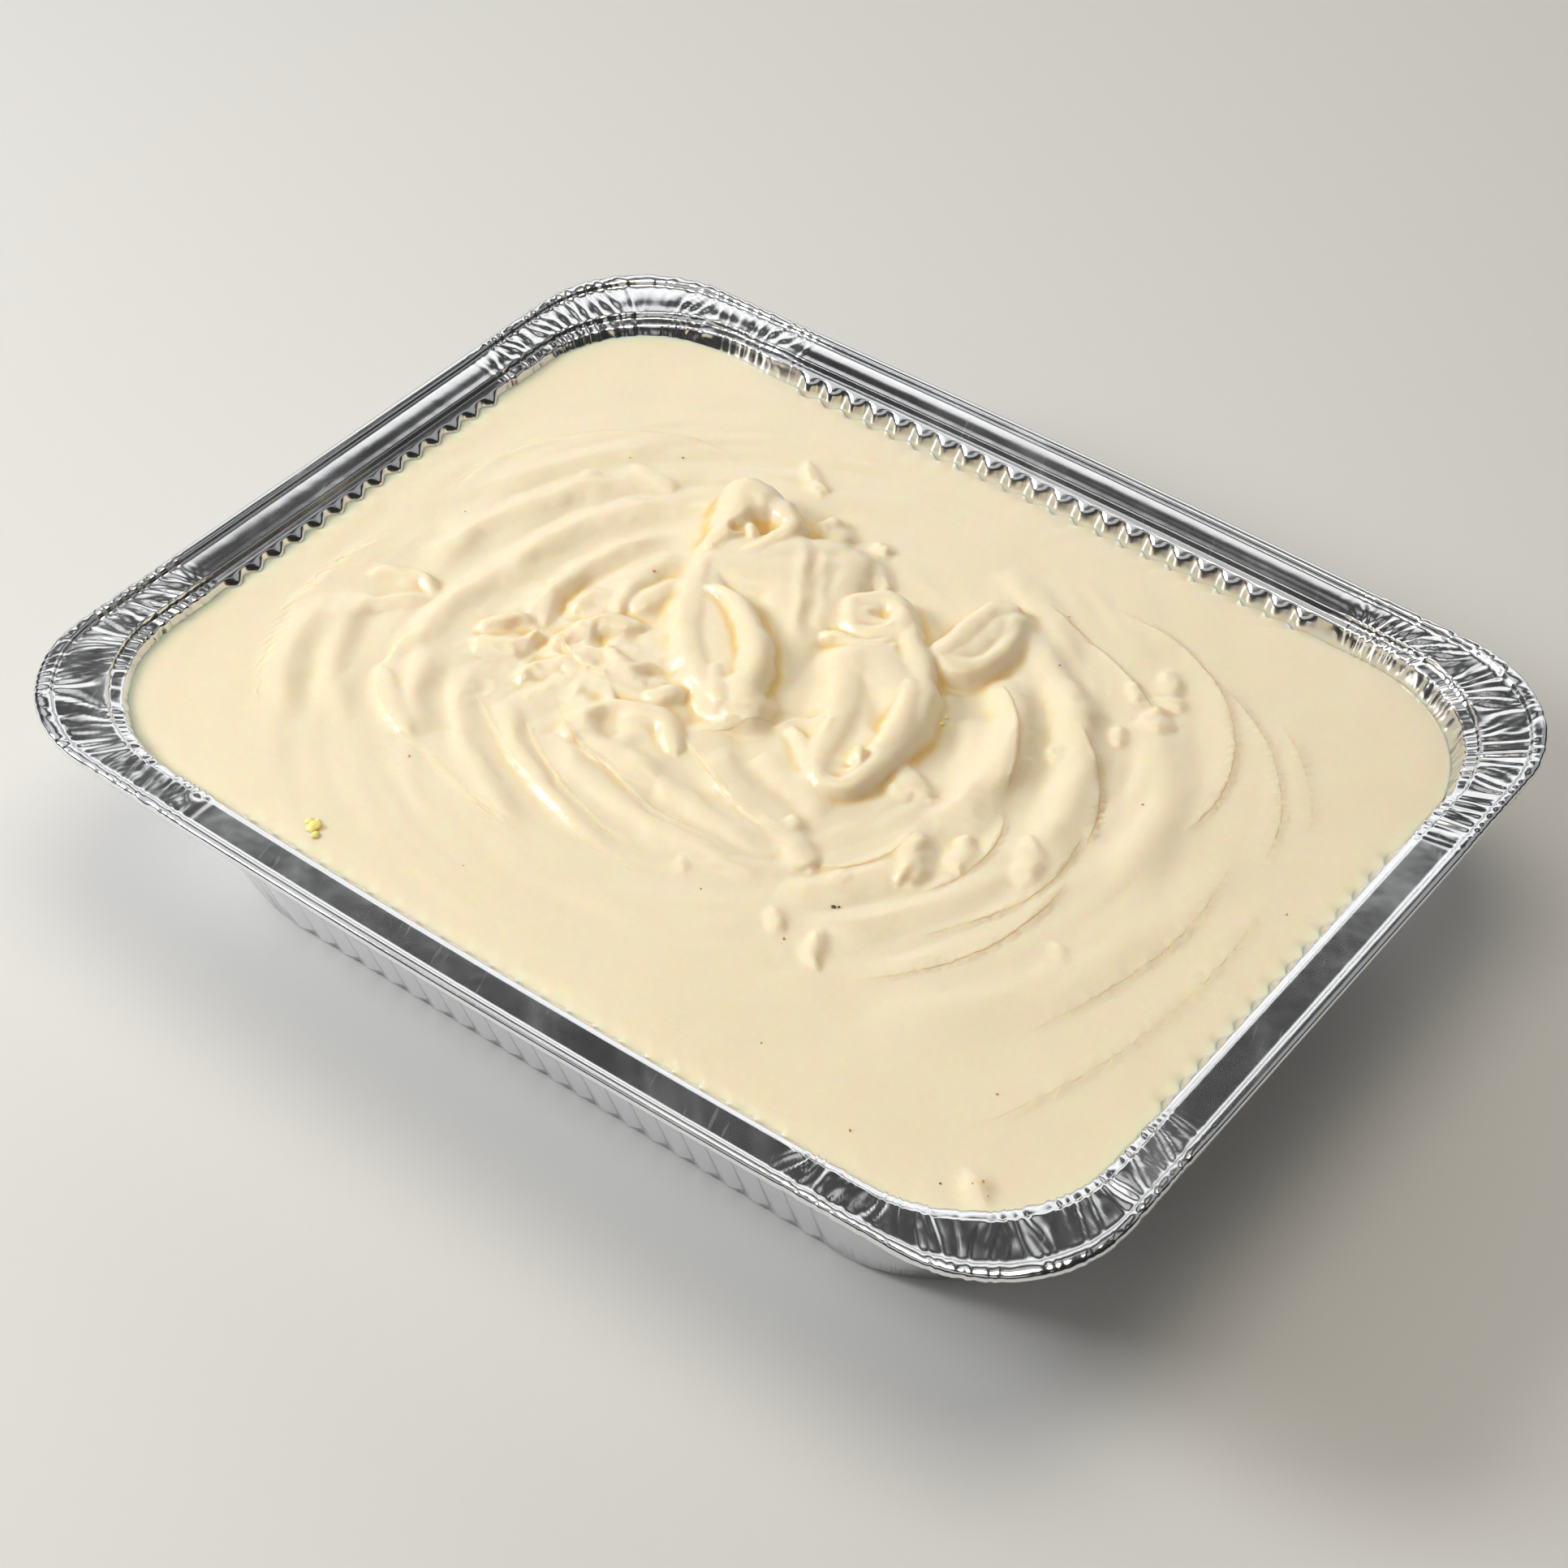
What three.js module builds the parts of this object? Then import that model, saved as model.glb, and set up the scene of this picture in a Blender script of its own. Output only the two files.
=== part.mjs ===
// A half-size deep foil tray filled with mashed potato, 324 x 267 x 70 mm.
// Millimetres, +Z up. The origin is on the table, under the middle of the tray;
// +X runs along the tray's long side.
import * as THREE from "three";

// ---------------------------------------------------------------- driving sizes
const TRAY_LENGTH = 324; // over the rolled rim, 12 3/4 in
const TRAY_WIDTH = 263.6; // over the rolled rim at the corners, 10 3/8 in
const TRAY_HEIGHT = 65; // 2 9/16 in
const LONG_SIDE_BOW = 1.8; // the load pushes the long sides out in the middle
const FOIL = 0.6; // wall of this solid; the real foil is about 0.1 mm

const BEAD_RADIUS = 1.6; // the rolled edge
const RIM_CORNER_RADIUS = 38.4;
const WALL_CORNER_RADIUS = 41;

const BAND_INSET = 12; // inner edge of the flat band, in from the tray's edge
const BAND_DROP = 0.5; // the band falls inwards
const STEP_INSET = 12.7; // foot of the small step under the band
const STEP_HEIGHT = 1.7;
const WALL_TOP_INSET = 14.4; // inner edge of the ledge, where the wall starts
const BASE_INSET = 34.4; // where the wall meets the rounding of the base
const BASE_ROUND = 3.4;

const FLUTE_DEPTH = 1.5; // the wall's upright flutes
const FLUTES_LONG = 22;
const FLUTES_SHORT = 14;
const HALF_FLUTED_LONG = 86; // the flutes stop here and the corner pleats start
const HALF_FLUTED_SHORT = 56;
const PLEATS = 14; // at each corner
const PLEAT_DEPTH = 0.9;
const BAND_PLEAT = 0.35;

const MASH_LEVEL = 58;
const MASH_GAP = 0.4; // between the mash and the foil
const MASH_EDGE_DROP = 1.2; // the mash rounds down where it meets the foil
const MASH_EDGE_ROUND = 3;
const MASH_CENTRE = [-18, 26]; // the mash's facets are closest together round here

// The mash was stirred round one point, so its swirls are arcs round that point.
// An arc is: from and to in degrees; its radius at the start, half way and at the
// end; its rise; its half width.
const STIR_CENTRE = [-14, 0];
// the torn edge of a spoon stroke: a small step up towards the middle
const LEDGES = [
  [-143, -72, 74, 68, 74, 1.2, 6],
  [-130, -76, 59, 61, 67, 1.2, 5],
  [-151, -57, 58, 47, 60, 1.2, 6],
  [-120, -40, 35, 34, 65, 1.1, 6],
  [-155, -76, 98, 85, 79, 1.3, 8],
  [-177, -138, 115, 125, 126, 0.9, 9],
  [-41, -12, 65, 69, 64, 0.7, 5],
  [-23, 4, 83, 83, 76, 0.8, 4],
  [-29, 6, 96, 97, 96, 1.0, 5],
  [-40, -4, 104, 107, 100, 1.0, 6],
  [-26, 12, 135, 131, 133, 0.6, 8],
  [-35, 8, 156, 149, 145, 0.9, 8],
  [12, 59, 118, 124, 104, 1.0, 8],
  [10, 42, 140, 136, 122, 1.0, 8],
  [35, 63, 105, 95, 88, 0.9, 6],
  [7, 41, 74, 70, 65, 0.9, 7],
  [4, 29, 99, 94, 85, 1.0, 8],
  [128, 175, 99, 119, 115, 0.6, 9],
];
// the soft ridge between two spoon strokes
const RIDGES = [
  [146, 196, 67, 66, 65, 1.4, 3.2],
  [146, 186, 55, 54, 48, 1.7, 3.8],
  [140, 186, 80, 81, 80, 1.2, 4],
  [135, 176, 92, 93, 92, 0.9, 4],
  [150, 188, 96, 98, 100, 1.2, 3.6],
  [140, 170, 106, 108, 110, 0.7, 4],
  [-178, -150, 80, 87, 90, 1.1, 4],
  [-152, -130, 83, 87, 84, 1.1, 4],
  [-162, -135, 110, 109, 104, 0.9, 4],
  [-160, -136, 116, 120, 119, 0.9, 4],
  [44, -10, 66, 70, 67, 1.8, 5],
  [42, -6, 83, 88, 92, 1.4, 5],
  [34, 0, 104, 110, 112, 1.0, 5.5],
  [62, 24, 72, 80, 84, 1.3, 4.5],
  [-105, -46, 38, 45, 60, 1.4, 3.6],
  [-124, -50, 54, 55, 67, 1.5, 3.6],
  [-145, -85, 42, 43, 44, 1.5, 4],
  [2, -40, 124, 123, 118, 0.6, 6],
  [-140, -84, 63, 64, 68, 1.0, 2.6],
  [-150, -100, 74, 75, 76, 0.9, 3],
  [-20, -48, 72, 74, 72, 0.8, 4],
  [-5, -45, 88, 89, 86, 0.7, 4],
  [75, 48, 84, 86, 84, 0.7, 4],
];

// A fold follows a curve through a few points [x, y, height over the mash's level,
// half width]. Blend is how far it runs into its neighbours. Its section is a round
// crest, flatter for a smaller drop, with straight flanks from the steep share on.
const fold = (kind, blend, drop, steep, ...points) => ({ kind, blend, drop, steep, points });
const MOUND = [
  fold("swell", 0, 0, 0, [-45, 45, 2.5, 24], [-25, 20, 2.5, 24], [-5, -5, 1.5, 22]),
  fold("swell", 0, 0, 0, [-60, -10, 1.2, 36], [0, -20, 1.2, 40], [40, 10, 1.2, 36]),
  fold("swell", 0, 0, 0, [-66, -10, 1.2, 9], [-50, -14, 1.8, 10], [-36, -24, 1.6, 10]),
];
const FOLDS = [
  // the crumpled mash beside the mound
  fold("lump", 1.5, 0.5, 0.9, [-83, -29, 1.6, 3.4], [-76, -27, 2.2, 4.4], [-70, -20, 1.8, 3.6]),
  fold("lump", 1.5, 0.7, 0.85, [-85, -25, 2.2, 1.8], [-82, -20, 2.8, 2], [-76, -14, 2.6, 1.8]),
  fold("lump", 1.5, 0.7, 0.85, [-57, -43, 2, 1.6], [-62, -34, 2.8, 2.6], [-60, -22, 2, 2.2]),
  fold("lump", 2, 0.4, 0.9, [-64, -13, 3.2, 5], [-58, -11, 3.8, 6], [-47, -8, 3.8, 6]),
  fold("lump", 2, 0.4, 0.9, [-48, -29, 3, 5], [-43, -25, 3.2, 6], [-36, -22, 3.2, 5]),
  fold("lump", 1.6, 1, 0.9, [-27, -20, 3.8, 2.2], [-20, -24, 4.2, 2.6], [-14, -33, 2.6, 2]),
  fold("lump", 2, 0.8, 0.85, [-74, -12, 1.8, 2.6], [-79, 1, 2.8, 3.2], [-78, 13, 1.6, 2.4]),
  fold("lump", 2, 0.8, 0.85, [-59, -1, 2.8, 2.2], [-63, 11, 4, 3.2], [-62, 24, 2.6, 2.4]),
  fold("lump", 2, 0.6, 0.85, [-56, 4, 3.2, 2.6], [-56, 12, 4, 3.2], [-54, 22, 3.6, 3.2]),
  fold("lump", 2, 0.6, 0.85, [-69, -4, 2.6, 2.4], [-69, 1, 3.2, 3], [-66, 6, 2.4, 2.6]),
  // the sheet that hangs down the middle of the mound
  fold("roll", 2.5, 0.5, 0.92, [-52, 32, 5.6, 5], [-42, 37, 6, 8], [-34, 44, 6.2, 10], [-28, 51, 5.4, 8]),
  fold("roll", 2.2, 0.5, 0.92, [-52, 39, 5.8, 4.5], [-45, 42, 6.2, 6.5], [-39, 48, 6.2, 6]),
  fold("roll", 2.5, 0.5, 0.9, [-28, 38, 5.6, 12], [-19, 29, 4.6, 10], [-14, 20, 3.4, 7], [-10, 6, 2.4, 5]),
  // the dollop on top, with the lip that runs down from it on each side
  fold("roll", 2.2, 1, 0.94, [-56, 55, 11.5, 7.8], [-52, 57, 11.3, 8]),
  fold("roll", 2, 1, 0.9, [-56, 52, 10.6, 6], [-54, 46, 9, 4.2], [-55, 38, 6.4, 1.8]),
  fold("roll", 1.8, 1, 0.93, [-47, 59, 9.4, 4], [-42, 55, 8.6, 3.4], [-40, 50, 7.8, 2.8], [-45, 38, 5.9, 1.2]),
  // the curled fold, open along its middle
  fold("roll", 1.8, 0.6, 0.93, [-47, 19, 5.4, 5], [-34, 6, 5.2, 7], [-22, -2, 5, 8], [-14, -7, 4.8, 7.4]),
  fold("roll", 2.4, 0.6, 0.93, [-52, 23, 5.6, 2.4], [-44, 12, 5.9, 3.8], [-27, -6, 5.9, 4.2], [-13, -11, 5.6, 4.2]),
  fold("roll", 1.2, 1, 0.95, [-44, 21, 6.6, 1], [-40, 22, 8, 2], [-33, 19, 9, 3.6], [-20, 6, 9.2, 5.2], [-12, -10, 5.6, 5]),
  // the small ring
  fold("roll", 1.5, 0.9, 0.9, [-10, 37, 5.4, 2.6], [-10, 44, 6.4, 3], [-2, 48, 7.2, 3.8], [4, 42, 6.8, 3.6], [1, 34, 6, 2.4], [-6, 34, 5.4, 2.2], [-10, 37, 5.4, 2.6]),
  fold("roll", 1.6, 0.4, 0.9, [-7, 40, 5.2, 4], [-3, 42, 5.2, 4]),
  // the long lobe that runs down from the ring and turns back on itself
  fold("roll", 1.8, 0.5, 0.93, [3, 30, 5.2, 8], [10, 23, 5, 10], [20, 3, 4.2, 8], [21, -8, 3.8, 6]),
  fold("roll", 2, 1, 0.92, [2, 44, 6.8, 4], [14, 34, 6.8, 4.8], [24, 23, 7, 5.3], [28, 6, 6.2, 5], [29, -9, 5.2, 4], [24, -18, 4.4, 3], [18, -17, 4.4, 2.4]),
  fold("roll", 1.8, 0.6, 0.93, [-1, 22, 5.6, 3.6], [8, 7, 5.4, 3.4], [15, -7, 4.7, 1.9], [18, -18, 4.4, 1.8]),
  fold("dent", 1.8, 0.7, 0.8, [9, 17, 4.3, 1.8], [13, 13, 3.8, 2.8], [17, 12, 3.6, 2.2]),
  fold("roll", 1.2, 1, 0.93, [19, 23, 7.6, 1.2], [22, 18, 7.7, 2], [24, 12, 7.2, 2.6], [26, 0, 6, 2]),
  // the bean-shaped fold
  fold("roll", 1.8, 0.5, 0.92, [22, 57, 4.4, 4.5], [20, 47, 4.4, 4.5]),
  fold("roll", 1.4, 1, 0.94, [18, 66, 4.8, 2.6], [17, 55, 6, 4.2], [17, 40, 4.2, 2.2]),
  fold("roll", 1.4, 0.9, 0.9, [23, 65, 4.2, 2.2], [26, 54, 4.4, 2.6], [24, 44, 4, 2.6], [18, 39, 4, 2]),
];
// the smaller lumps round the mound: x, y, heading in degrees, length, half width, height
const LUMPS = [
  [-35, 65, -30, 9, 4.2, 3.4],
  [-22, 69, -40, 5, 1.9, 1.8],
  [-15, 58, -50, 10, 2.4, 2.4],
  [6, 36, -40, 5, 1.6, 5.6],
  [-55, 82, -40, 13, 1.8, 1.5],
  [-116, -23, 0, 10, 2.2, 1.7],
  [-89, 54, -10, 14, 2.2, 1.5],
  [54, -24, -60, 17, 2.6, 2.8],
  [29, -39, -30, 10, 2.8, 2.4],
  [45, -41, 0, 3, 2.6, 1.8],
  [53, -64, -70, 9, 1.9, 1.6],
  [69, 72, -60, 9, 2.2, 1.8],
  [69, 46, -60, 6, 2.0, 1.4],
  [75, 56, -20, 8, 4.0, 2.2],
  [78, -8, -70, 14, 3.0, 2.4],
  [38, -5, 10, 8, 4.0, 2.4],
  [63, -16, -90, 10, 2.8, 2.0],
  [-20, -42, -20, 9, 2.0, 2.0],
];

// ---------------------------------------------------------------- small helpers
const clamp = (v, low, high) => Math.min(Math.max(v, low), high);
const mix = (a, b, t) => a + (b - a) * t;

/** Smooth maximum: two forms that run into each other over about k mm. */
function smoothMax(a, b, k) {
  const h = Math.max(k - Math.abs(a - b), 0) / k;
  return Math.max(a, b) + h * h * k * 0.25;
}
const smoothMin = (a, b, k) => -smoothMax(-a, -b, k);

// ---------------------------------------------------------------- the tray's plan
// The plan is four sides and four corners, anticlockwise from the middle of +X.
// A station is a number from 0 to 8: side k fills 2k to 2k + 1, corner k the rest.
const SIDES = [0, 1, 2, 3].map((k) => ({
  out: [[1, 0], [0, 1], [-1, 0], [0, -1]][k],
  along: [[0, 1], [-1, 0], [0, -1], [1, 0]][k],
  reach: (k % 2 ? TRAY_WIDTH : TRAY_LENGTH) / 2,
  length: (k % 2 ? TRAY_LENGTH : TRAY_WIDTH) / 2,
  fluted: k % 2 ? HALF_FLUTED_LONG : HALF_FLUTED_SHORT,
  flutes: k % 2 ? FLUTES_LONG : FLUTES_SHORT,
  bow: k % 2 ? LONG_SIDE_BOW : 0,
}));

function cornerRadius(inset) {
  const radius = mix(RIM_CORNER_RADIUS, WALL_CORNER_RADIUS, clamp(inset / BAND_INSET, 0, 1));
  const room = SIDES.map((side) => side.length - inset - side.fluted);
  return Math.min(radius, ...room);
}

/** Half the straight run of a side at an inset. */
const halfStraight = (side, inset) => side.length - inset - cornerRadius(inset);

function sidePoint(side, s, inset, push) {
  const straight = side.length - RIM_CORNER_RADIUS;
  const fade = 1 - clamp((inset - WALL_TOP_INSET) / (BASE_INSET - WALL_TOP_INSET), 0, 1);
  const bow = side.bow * fade * Math.cos((Math.PI / 2) * clamp(s / straight, -1, 1));
  const reach = side.reach - inset + bow - push;
  return [0, 1].map((i) => side.out[i] * reach + side.along[i] * s);
}

/** The plan point at a station and an inset; push moves it in across the wall. */
function planPoint(station, inset, push = 0) {
  const k = Math.floor(station / 2) % 4;
  const side = SIDES[k];
  const part = station - 2 * Math.floor(station / 2);
  if (part < 1) return sidePoint(side, mix(-side.fluted, side.fluted, part), inset, push);
  const next = SIDES[(k + 1) % 4];
  const radius = cornerRadius(inset);
  const before = halfStraight(side, inset) - side.fluted;
  const after = halfStraight(next, inset) - next.fluted;
  const arc = (Math.PI / 2) * radius;
  const run = (part - 1) * (before + arc + after);
  if (run < before) return sidePoint(side, side.fluted + run, inset, push);
  if (run > before + arc) {
    return sidePoint(next, run - before - arc - after - next.fluted, inset, push);
  }
  const angle = (run - before) / radius;
  const across = (radius - push) * Math.cos(angle);
  const up = (radius - push) * Math.sin(angle);
  return [0, 1].map(
    (i) =>
      side.out[i] * (side.reach - inset - radius + across) +
      side.along[i] * (side.length - inset - radius + up),
  );
}

/** Stations round the plan: perSide(side) steps on a side, perCorner at a corner. */
function stationsRound(perSide, perCorner) {
  const list = [];
  SIDES.forEach((side, k) => {
    const steps = perSide(side);
    for (let i = 0; i < steps; i += 1) list.push({ station: 2 * k + i / steps, odd: i % 2 });
    for (let i = 0; i < perCorner; i += 1) {
      list.push({ station: 2 * k + 1 + i / perCorner, odd: i % 2 });
    }
  });
  return list;
}

// ---------------------------------------------------------------- skins
/** Collects loops of points and the triangles between them. */
class Skin {
  points = [];
  triangles = [];

  loop(stations, place) {
    const start = this.points.length;
    stations.forEach((entry) => this.points.push(place(entry)));
    return { start, stations: stations.map((entry) => entry.station) };
  }

  /** Joins two loops; each may have its own stations. */
  bridge(a, b) {
    const countA = a.stations.length;
    const countB = b.stations.length;
    const at = (loop, i) => (i < loop.stations.length ? loop.stations[i] : 8);
    let i = 0;
    let j = 0;
    while (i < countA || j < countB) {
      const pa = a.start + (i % countA);
      const pb = b.start + (j % countB);
      if (j < countB && (i >= countA || at(b, j + 1) <= at(a, i + 1))) {
        this.triangles.push(pa, pb, b.start + ((j + 1) % countB));
        j += 1;
      } else {
        this.triangles.push(pa, pb, a.start + ((i + 1) % countA));
        i += 1;
      }
    }
  }

  /** Closes a loop with a fan round one point; first tells which end it closes. */
  fan(loop, centre, first) {
    const hub = this.points.push(centre) - 1;
    const count = loop.stations.length;
    for (let i = 0; i < count; i += 1) {
      const p = loop.start + i;
      const q = loop.start + ((i + 1) % count);
      this.triangles.push(...(first ? [hub, p, q] : [p, hub, q]));
    }
  }

  mesh(name, look) {
    const geometry = new THREE.BufferGeometry();
    geometry.setAttribute("position", new THREE.Float32BufferAttribute(this.points.flat(), 3));
    geometry.setIndex(this.triangles);
    geometry.computeVertexNormals();
    const mesh = new THREE.Mesh(geometry, new THREE.MeshStandardMaterial(look));
    mesh.name = name;
    return mesh;
  }
}

// ---------------------------------------------------------------- the foil tray
const BEAD_HEIGHT = TRAY_HEIGHT - BEAD_RADIUS; // the middle of the rolled edge
const BAND_HEIGHT = BEAD_HEIGHT; // top of the band beside the bead
const BAND_FOOT = BAND_HEIGHT - BAND_DROP;
const LEDGE = BAND_FOOT - STEP_HEIGHT;
const FLUTE_START = LEDGE - 2.4; // the flutes have their full depth from here down
const WALL_FOOT = 4;

/** The rim's section from the wall's inner edge out over the bead and back under. */
function rimSection() {
  const section = [
    [WALL_TOP_INSET, LEDGE, 0],
    [STEP_INSET, LEDGE, 0],
    [BAND_INSET, BAND_FOOT, 1],
  ];
  const turns = 6;
  const open = Math.asin(FOIL / 2 / BEAD_RADIUS); // where the band runs into the bead
  for (let i = 0; i <= turns; i += 1) {
    const angle = mix(open, 2 * Math.PI - open, i / turns);
    section.push([
      BEAD_RADIUS + BEAD_RADIUS * Math.cos(angle),
      BEAD_HEIGHT + BEAD_RADIUS * Math.sin(angle),
      1,
    ]);
  }
  section.push(
    [BAND_INSET - FOIL, BAND_FOOT - FOIL, 1],
    [STEP_INSET - FOIL, LEDGE - FOIL, 0],
    [WALL_TOP_INSET - FOIL, LEDGE - FOIL, 0],
  );
  return section;
}

/** How far a wall station is pushed in by its flute or its pleat. */
function wallPush(entry) {
  const corner = entry.station % 2 >= 1;
  if (!entry.odd) return 0;
  return corner ? PLEAT_DEPTH : FLUTE_DEPTH;
}

function foilTray() {
  const skin = new Skin();
  const wallStations = stationsRound((side) => 2 * side.flutes, 2 * PLEATS);
  const rimStations = stationsRound((side) => (side.bow ? 8 : 4), 2 * PLEATS);
  const wallLoop = (inset, z, share) =>
    skin.loop(wallStations, (entry) => [...planPoint(entry.station, inset, share * wallPush(entry)), z]);
  const rimLoop = ([inset, z, pleated]) =>
    skin.loop(rimStations, (entry) => {
      const corner = entry.station % 2 >= 1;
      const lift = pleated && corner ? BAND_PLEAT * (entry.odd ? -1 : 1) : 0;
      return [...planPoint(entry.station, inset), z + (inset > BEAD_RADIUS ? lift : 0)];
    });
  const slope = (z) =>
    mix(BASE_INSET, WALL_TOP_INSET, (z - WALL_FOOT) / (LEDGE - WALL_FOOT));

  // inside: the base, its rounding, the fluted wall
  const inner = [
    wallLoop(BASE_INSET + BASE_ROUND, FOIL, 0),
    wallLoop(slope(WALL_FOOT), WALL_FOOT, 1),
    wallLoop(slope(FLUTE_START), FLUTE_START, 1),
  ];
  // the rim, then the outside of the wall back down to the base
  const rim = rimSection().map(rimLoop);
  const outer = [
    wallLoop(slope(FLUTE_START) - FOIL, FLUTE_START, 1),
    wallLoop(slope(WALL_FOOT) - FOIL, WALL_FOOT - FOIL, 1),
    wallLoop(BASE_INSET + BASE_ROUND - FOIL, 0, 0),
  ];
  const loops = [...inner, ...rim, ...outer];
  skin.fan(loops[0], [0, 0, FOIL], true);
  loops.slice(1).forEach((loop, i) => skin.bridge(loops[i], loop));
  skin.fan(loops.at(-1), [0, 0, 0], false);
  return skin.mesh("foil_tray", { color: 0xb9bcbd, metalness: 1, roughness: 0.28 });
}

// ---------------------------------------------------------------- the mash
/** The smooth curve through a stroke's points, as short straight spans. */
function smoothLine(points) {
  const steps = 6;
  const at = (i) => points[clamp(i, 0, points.length - 1)];
  const line = [];
  for (let i = 0; i < points.length - 1; i += 1) {
    const [a, b, c, d] = [at(i - 1), at(i), at(i + 1), at(i + 2)];
    for (let step = 0; step < steps; step += 1) {
      const t = step / steps;
      line.push(
        b.map((_, n) => {
          const bend = (2 * a[n] - 5 * b[n] + 4 * c[n] - d[n]) * t * t;
          const turn = (3 * b[n] - a[n] - 3 * c[n] + d[n]) * t * t * t;
          return 0.5 * (2 * b[n] + (c[n] - a[n]) * t + bend + turn);
        }),
      );
    }
  }
  line.push(points.at(-1));
  return line;
}

/** The curve's nearest point: distance, height, half width, side (+1 left), share run. */
function nearest(line, x, y) {
  let best = { distance: Infinity };
  for (let i = 0; i < line.length - 1; i += 1) {
    const [a, b] = [line[i], line[i + 1]];
    const [ex, ey] = [b[0] - a[0], b[1] - a[1]];
    const t = clamp(((x - a[0]) * ex + (y - a[1]) * ey) / (ex * ex + ey * ey), 0, 1);
    const [dx, dy] = [x - a[0] - t * ex, y - a[1] - t * ey];
    const distance = Math.hypot(dx, dy);
    if (distance < best.distance) {
      best = {
        distance,
        height: mix(a[2], b[2], t),
        half: mix(a[3], b[3], t),
        side: Math.sign(ex * dy - ey * dx),
        share: (i + t) / (line.length - 1),
      };
    }
  }
  return best;
}

/** 0 on the crest; a circle's fall to the steep share, then straight on. */
function roof(across, steep) {
  const level = Math.sqrt(1 - steep * steep);
  if (across < steep) return 1 - Math.sqrt(1 - across * across);
  return 1 - level + ((across - steep) * steep) / level;
}

const smoothStep = (t) => clamp(t, 0, 1) ** 2 * (3 - 2 * clamp(t, 0, 1));
const toEnd = (share) => Math.min(share, 1 - share);

// What each kind of stroke does to the height h under it.
const STROKES = {
  roll: (h, s, n) => smoothMax(h, n.height - s.drop * n.half * roof(n.distance / n.half, s.steep), s.blend),
  dent: (h, s, n) => smoothMin(h, n.height + s.drop * n.half * roof(n.distance / n.half, s.steep), s.blend),
  lump: (h, s, n) => {
    const taper = 0.25 + 0.75 * Math.sqrt(1 - (1 - clamp(3.3 * toEnd(n.share), 0, 1)) ** 2);
    const height = n.height - 0.7 * (1 - taper) * Math.min(n.height, 2.2);
    return STROKES.roll(h, s, { ...n, half: n.half * taper, height });
  },
  swell: (h, s, n) => {
    const across = Math.max(0, 1 - (n.distance / (2 * n.half)) ** 2);
    return h + n.height * across ** 3 * smoothStep(4 * toEnd(n.share) + 0.15);
  },
  ledge: (h, s, n) => {
    const across = n.distance * n.side;
    const fall = clamp(1 - Math.max(across, 0) / (2.2 * n.half), 0, 1) ** 2;
    return h + n.height * smoothStep(5 * toEnd(n.share)) * smoothStep((across + 0.45) / 0.9) * fall;
  },
};

/** A swirl's arc as a stroke. */
function arcStroke(kind, [from, to, start, middle, end, rise, half]) {
  const steps = 6;
  const points = [];
  for (let i = 0; i <= steps; i += 1) {
    const t = i / steps;
    const radius = start * (1 - t) * (1 - 2 * t) + 4 * middle * t * (1 - t) + end * t * (2 * t - 1);
    const angle = THREE.MathUtils.degToRad(mix(from, to, t));
    const [x, y] = STIR_CENTRE;
    points.push([x + radius * Math.cos(angle), y + radius * Math.sin(angle), rise, half]);
  }
  return { kind, points };
}

function lumpStroke([x, y, heading, length, half, height]) {
  const angle = THREE.MathUtils.degToRad(heading);
  const points = [-0.5, 0, 0.5].map((share) => [
    x + share * length * Math.cos(angle),
    y + share * length * Math.sin(angle),
    height * (share ? 0.72 : 0.85),
    half * (share ? 1 : 1.1),
  ]);
  return fold("lump", 2.2, 0.6, 0.85, ...points);
}

const RELIEF = [
  ...MOUND,
  ...LEDGES.map((arc) => arcStroke("ledge", arc)),
  ...RIDGES.map((arc) => arcStroke("swell", arc)),
  ...FOLDS,
  ...LUMPS.map(lumpStroke),
].map((stroke) => ({ ...stroke, line: smoothLine(stroke.points) }));

/** Height of the mash's surface over its level. */
function relief(x, y) {
  return RELIEF.reduce((h, stroke) => STROKES[stroke.kind](h, stroke, nearest(stroke.line, x, y)), 0);
}

// The mash's top is rings round its centre, in three zones. Each zone has stations
// along the long sides, the short sides and the corners; reach is how far its last
// ring is on the way to the tray's wall.
const RING_ZONES = [
  { rings: 4, long: 7, short: 5, corner: 5, reach: 0.06 },
  { rings: 23, long: 17, short: 13, corner: 12, reach: 0.48 },
  { rings: 7, long: 14, short: 10, corner: 9, reach: 1 },
];

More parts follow.
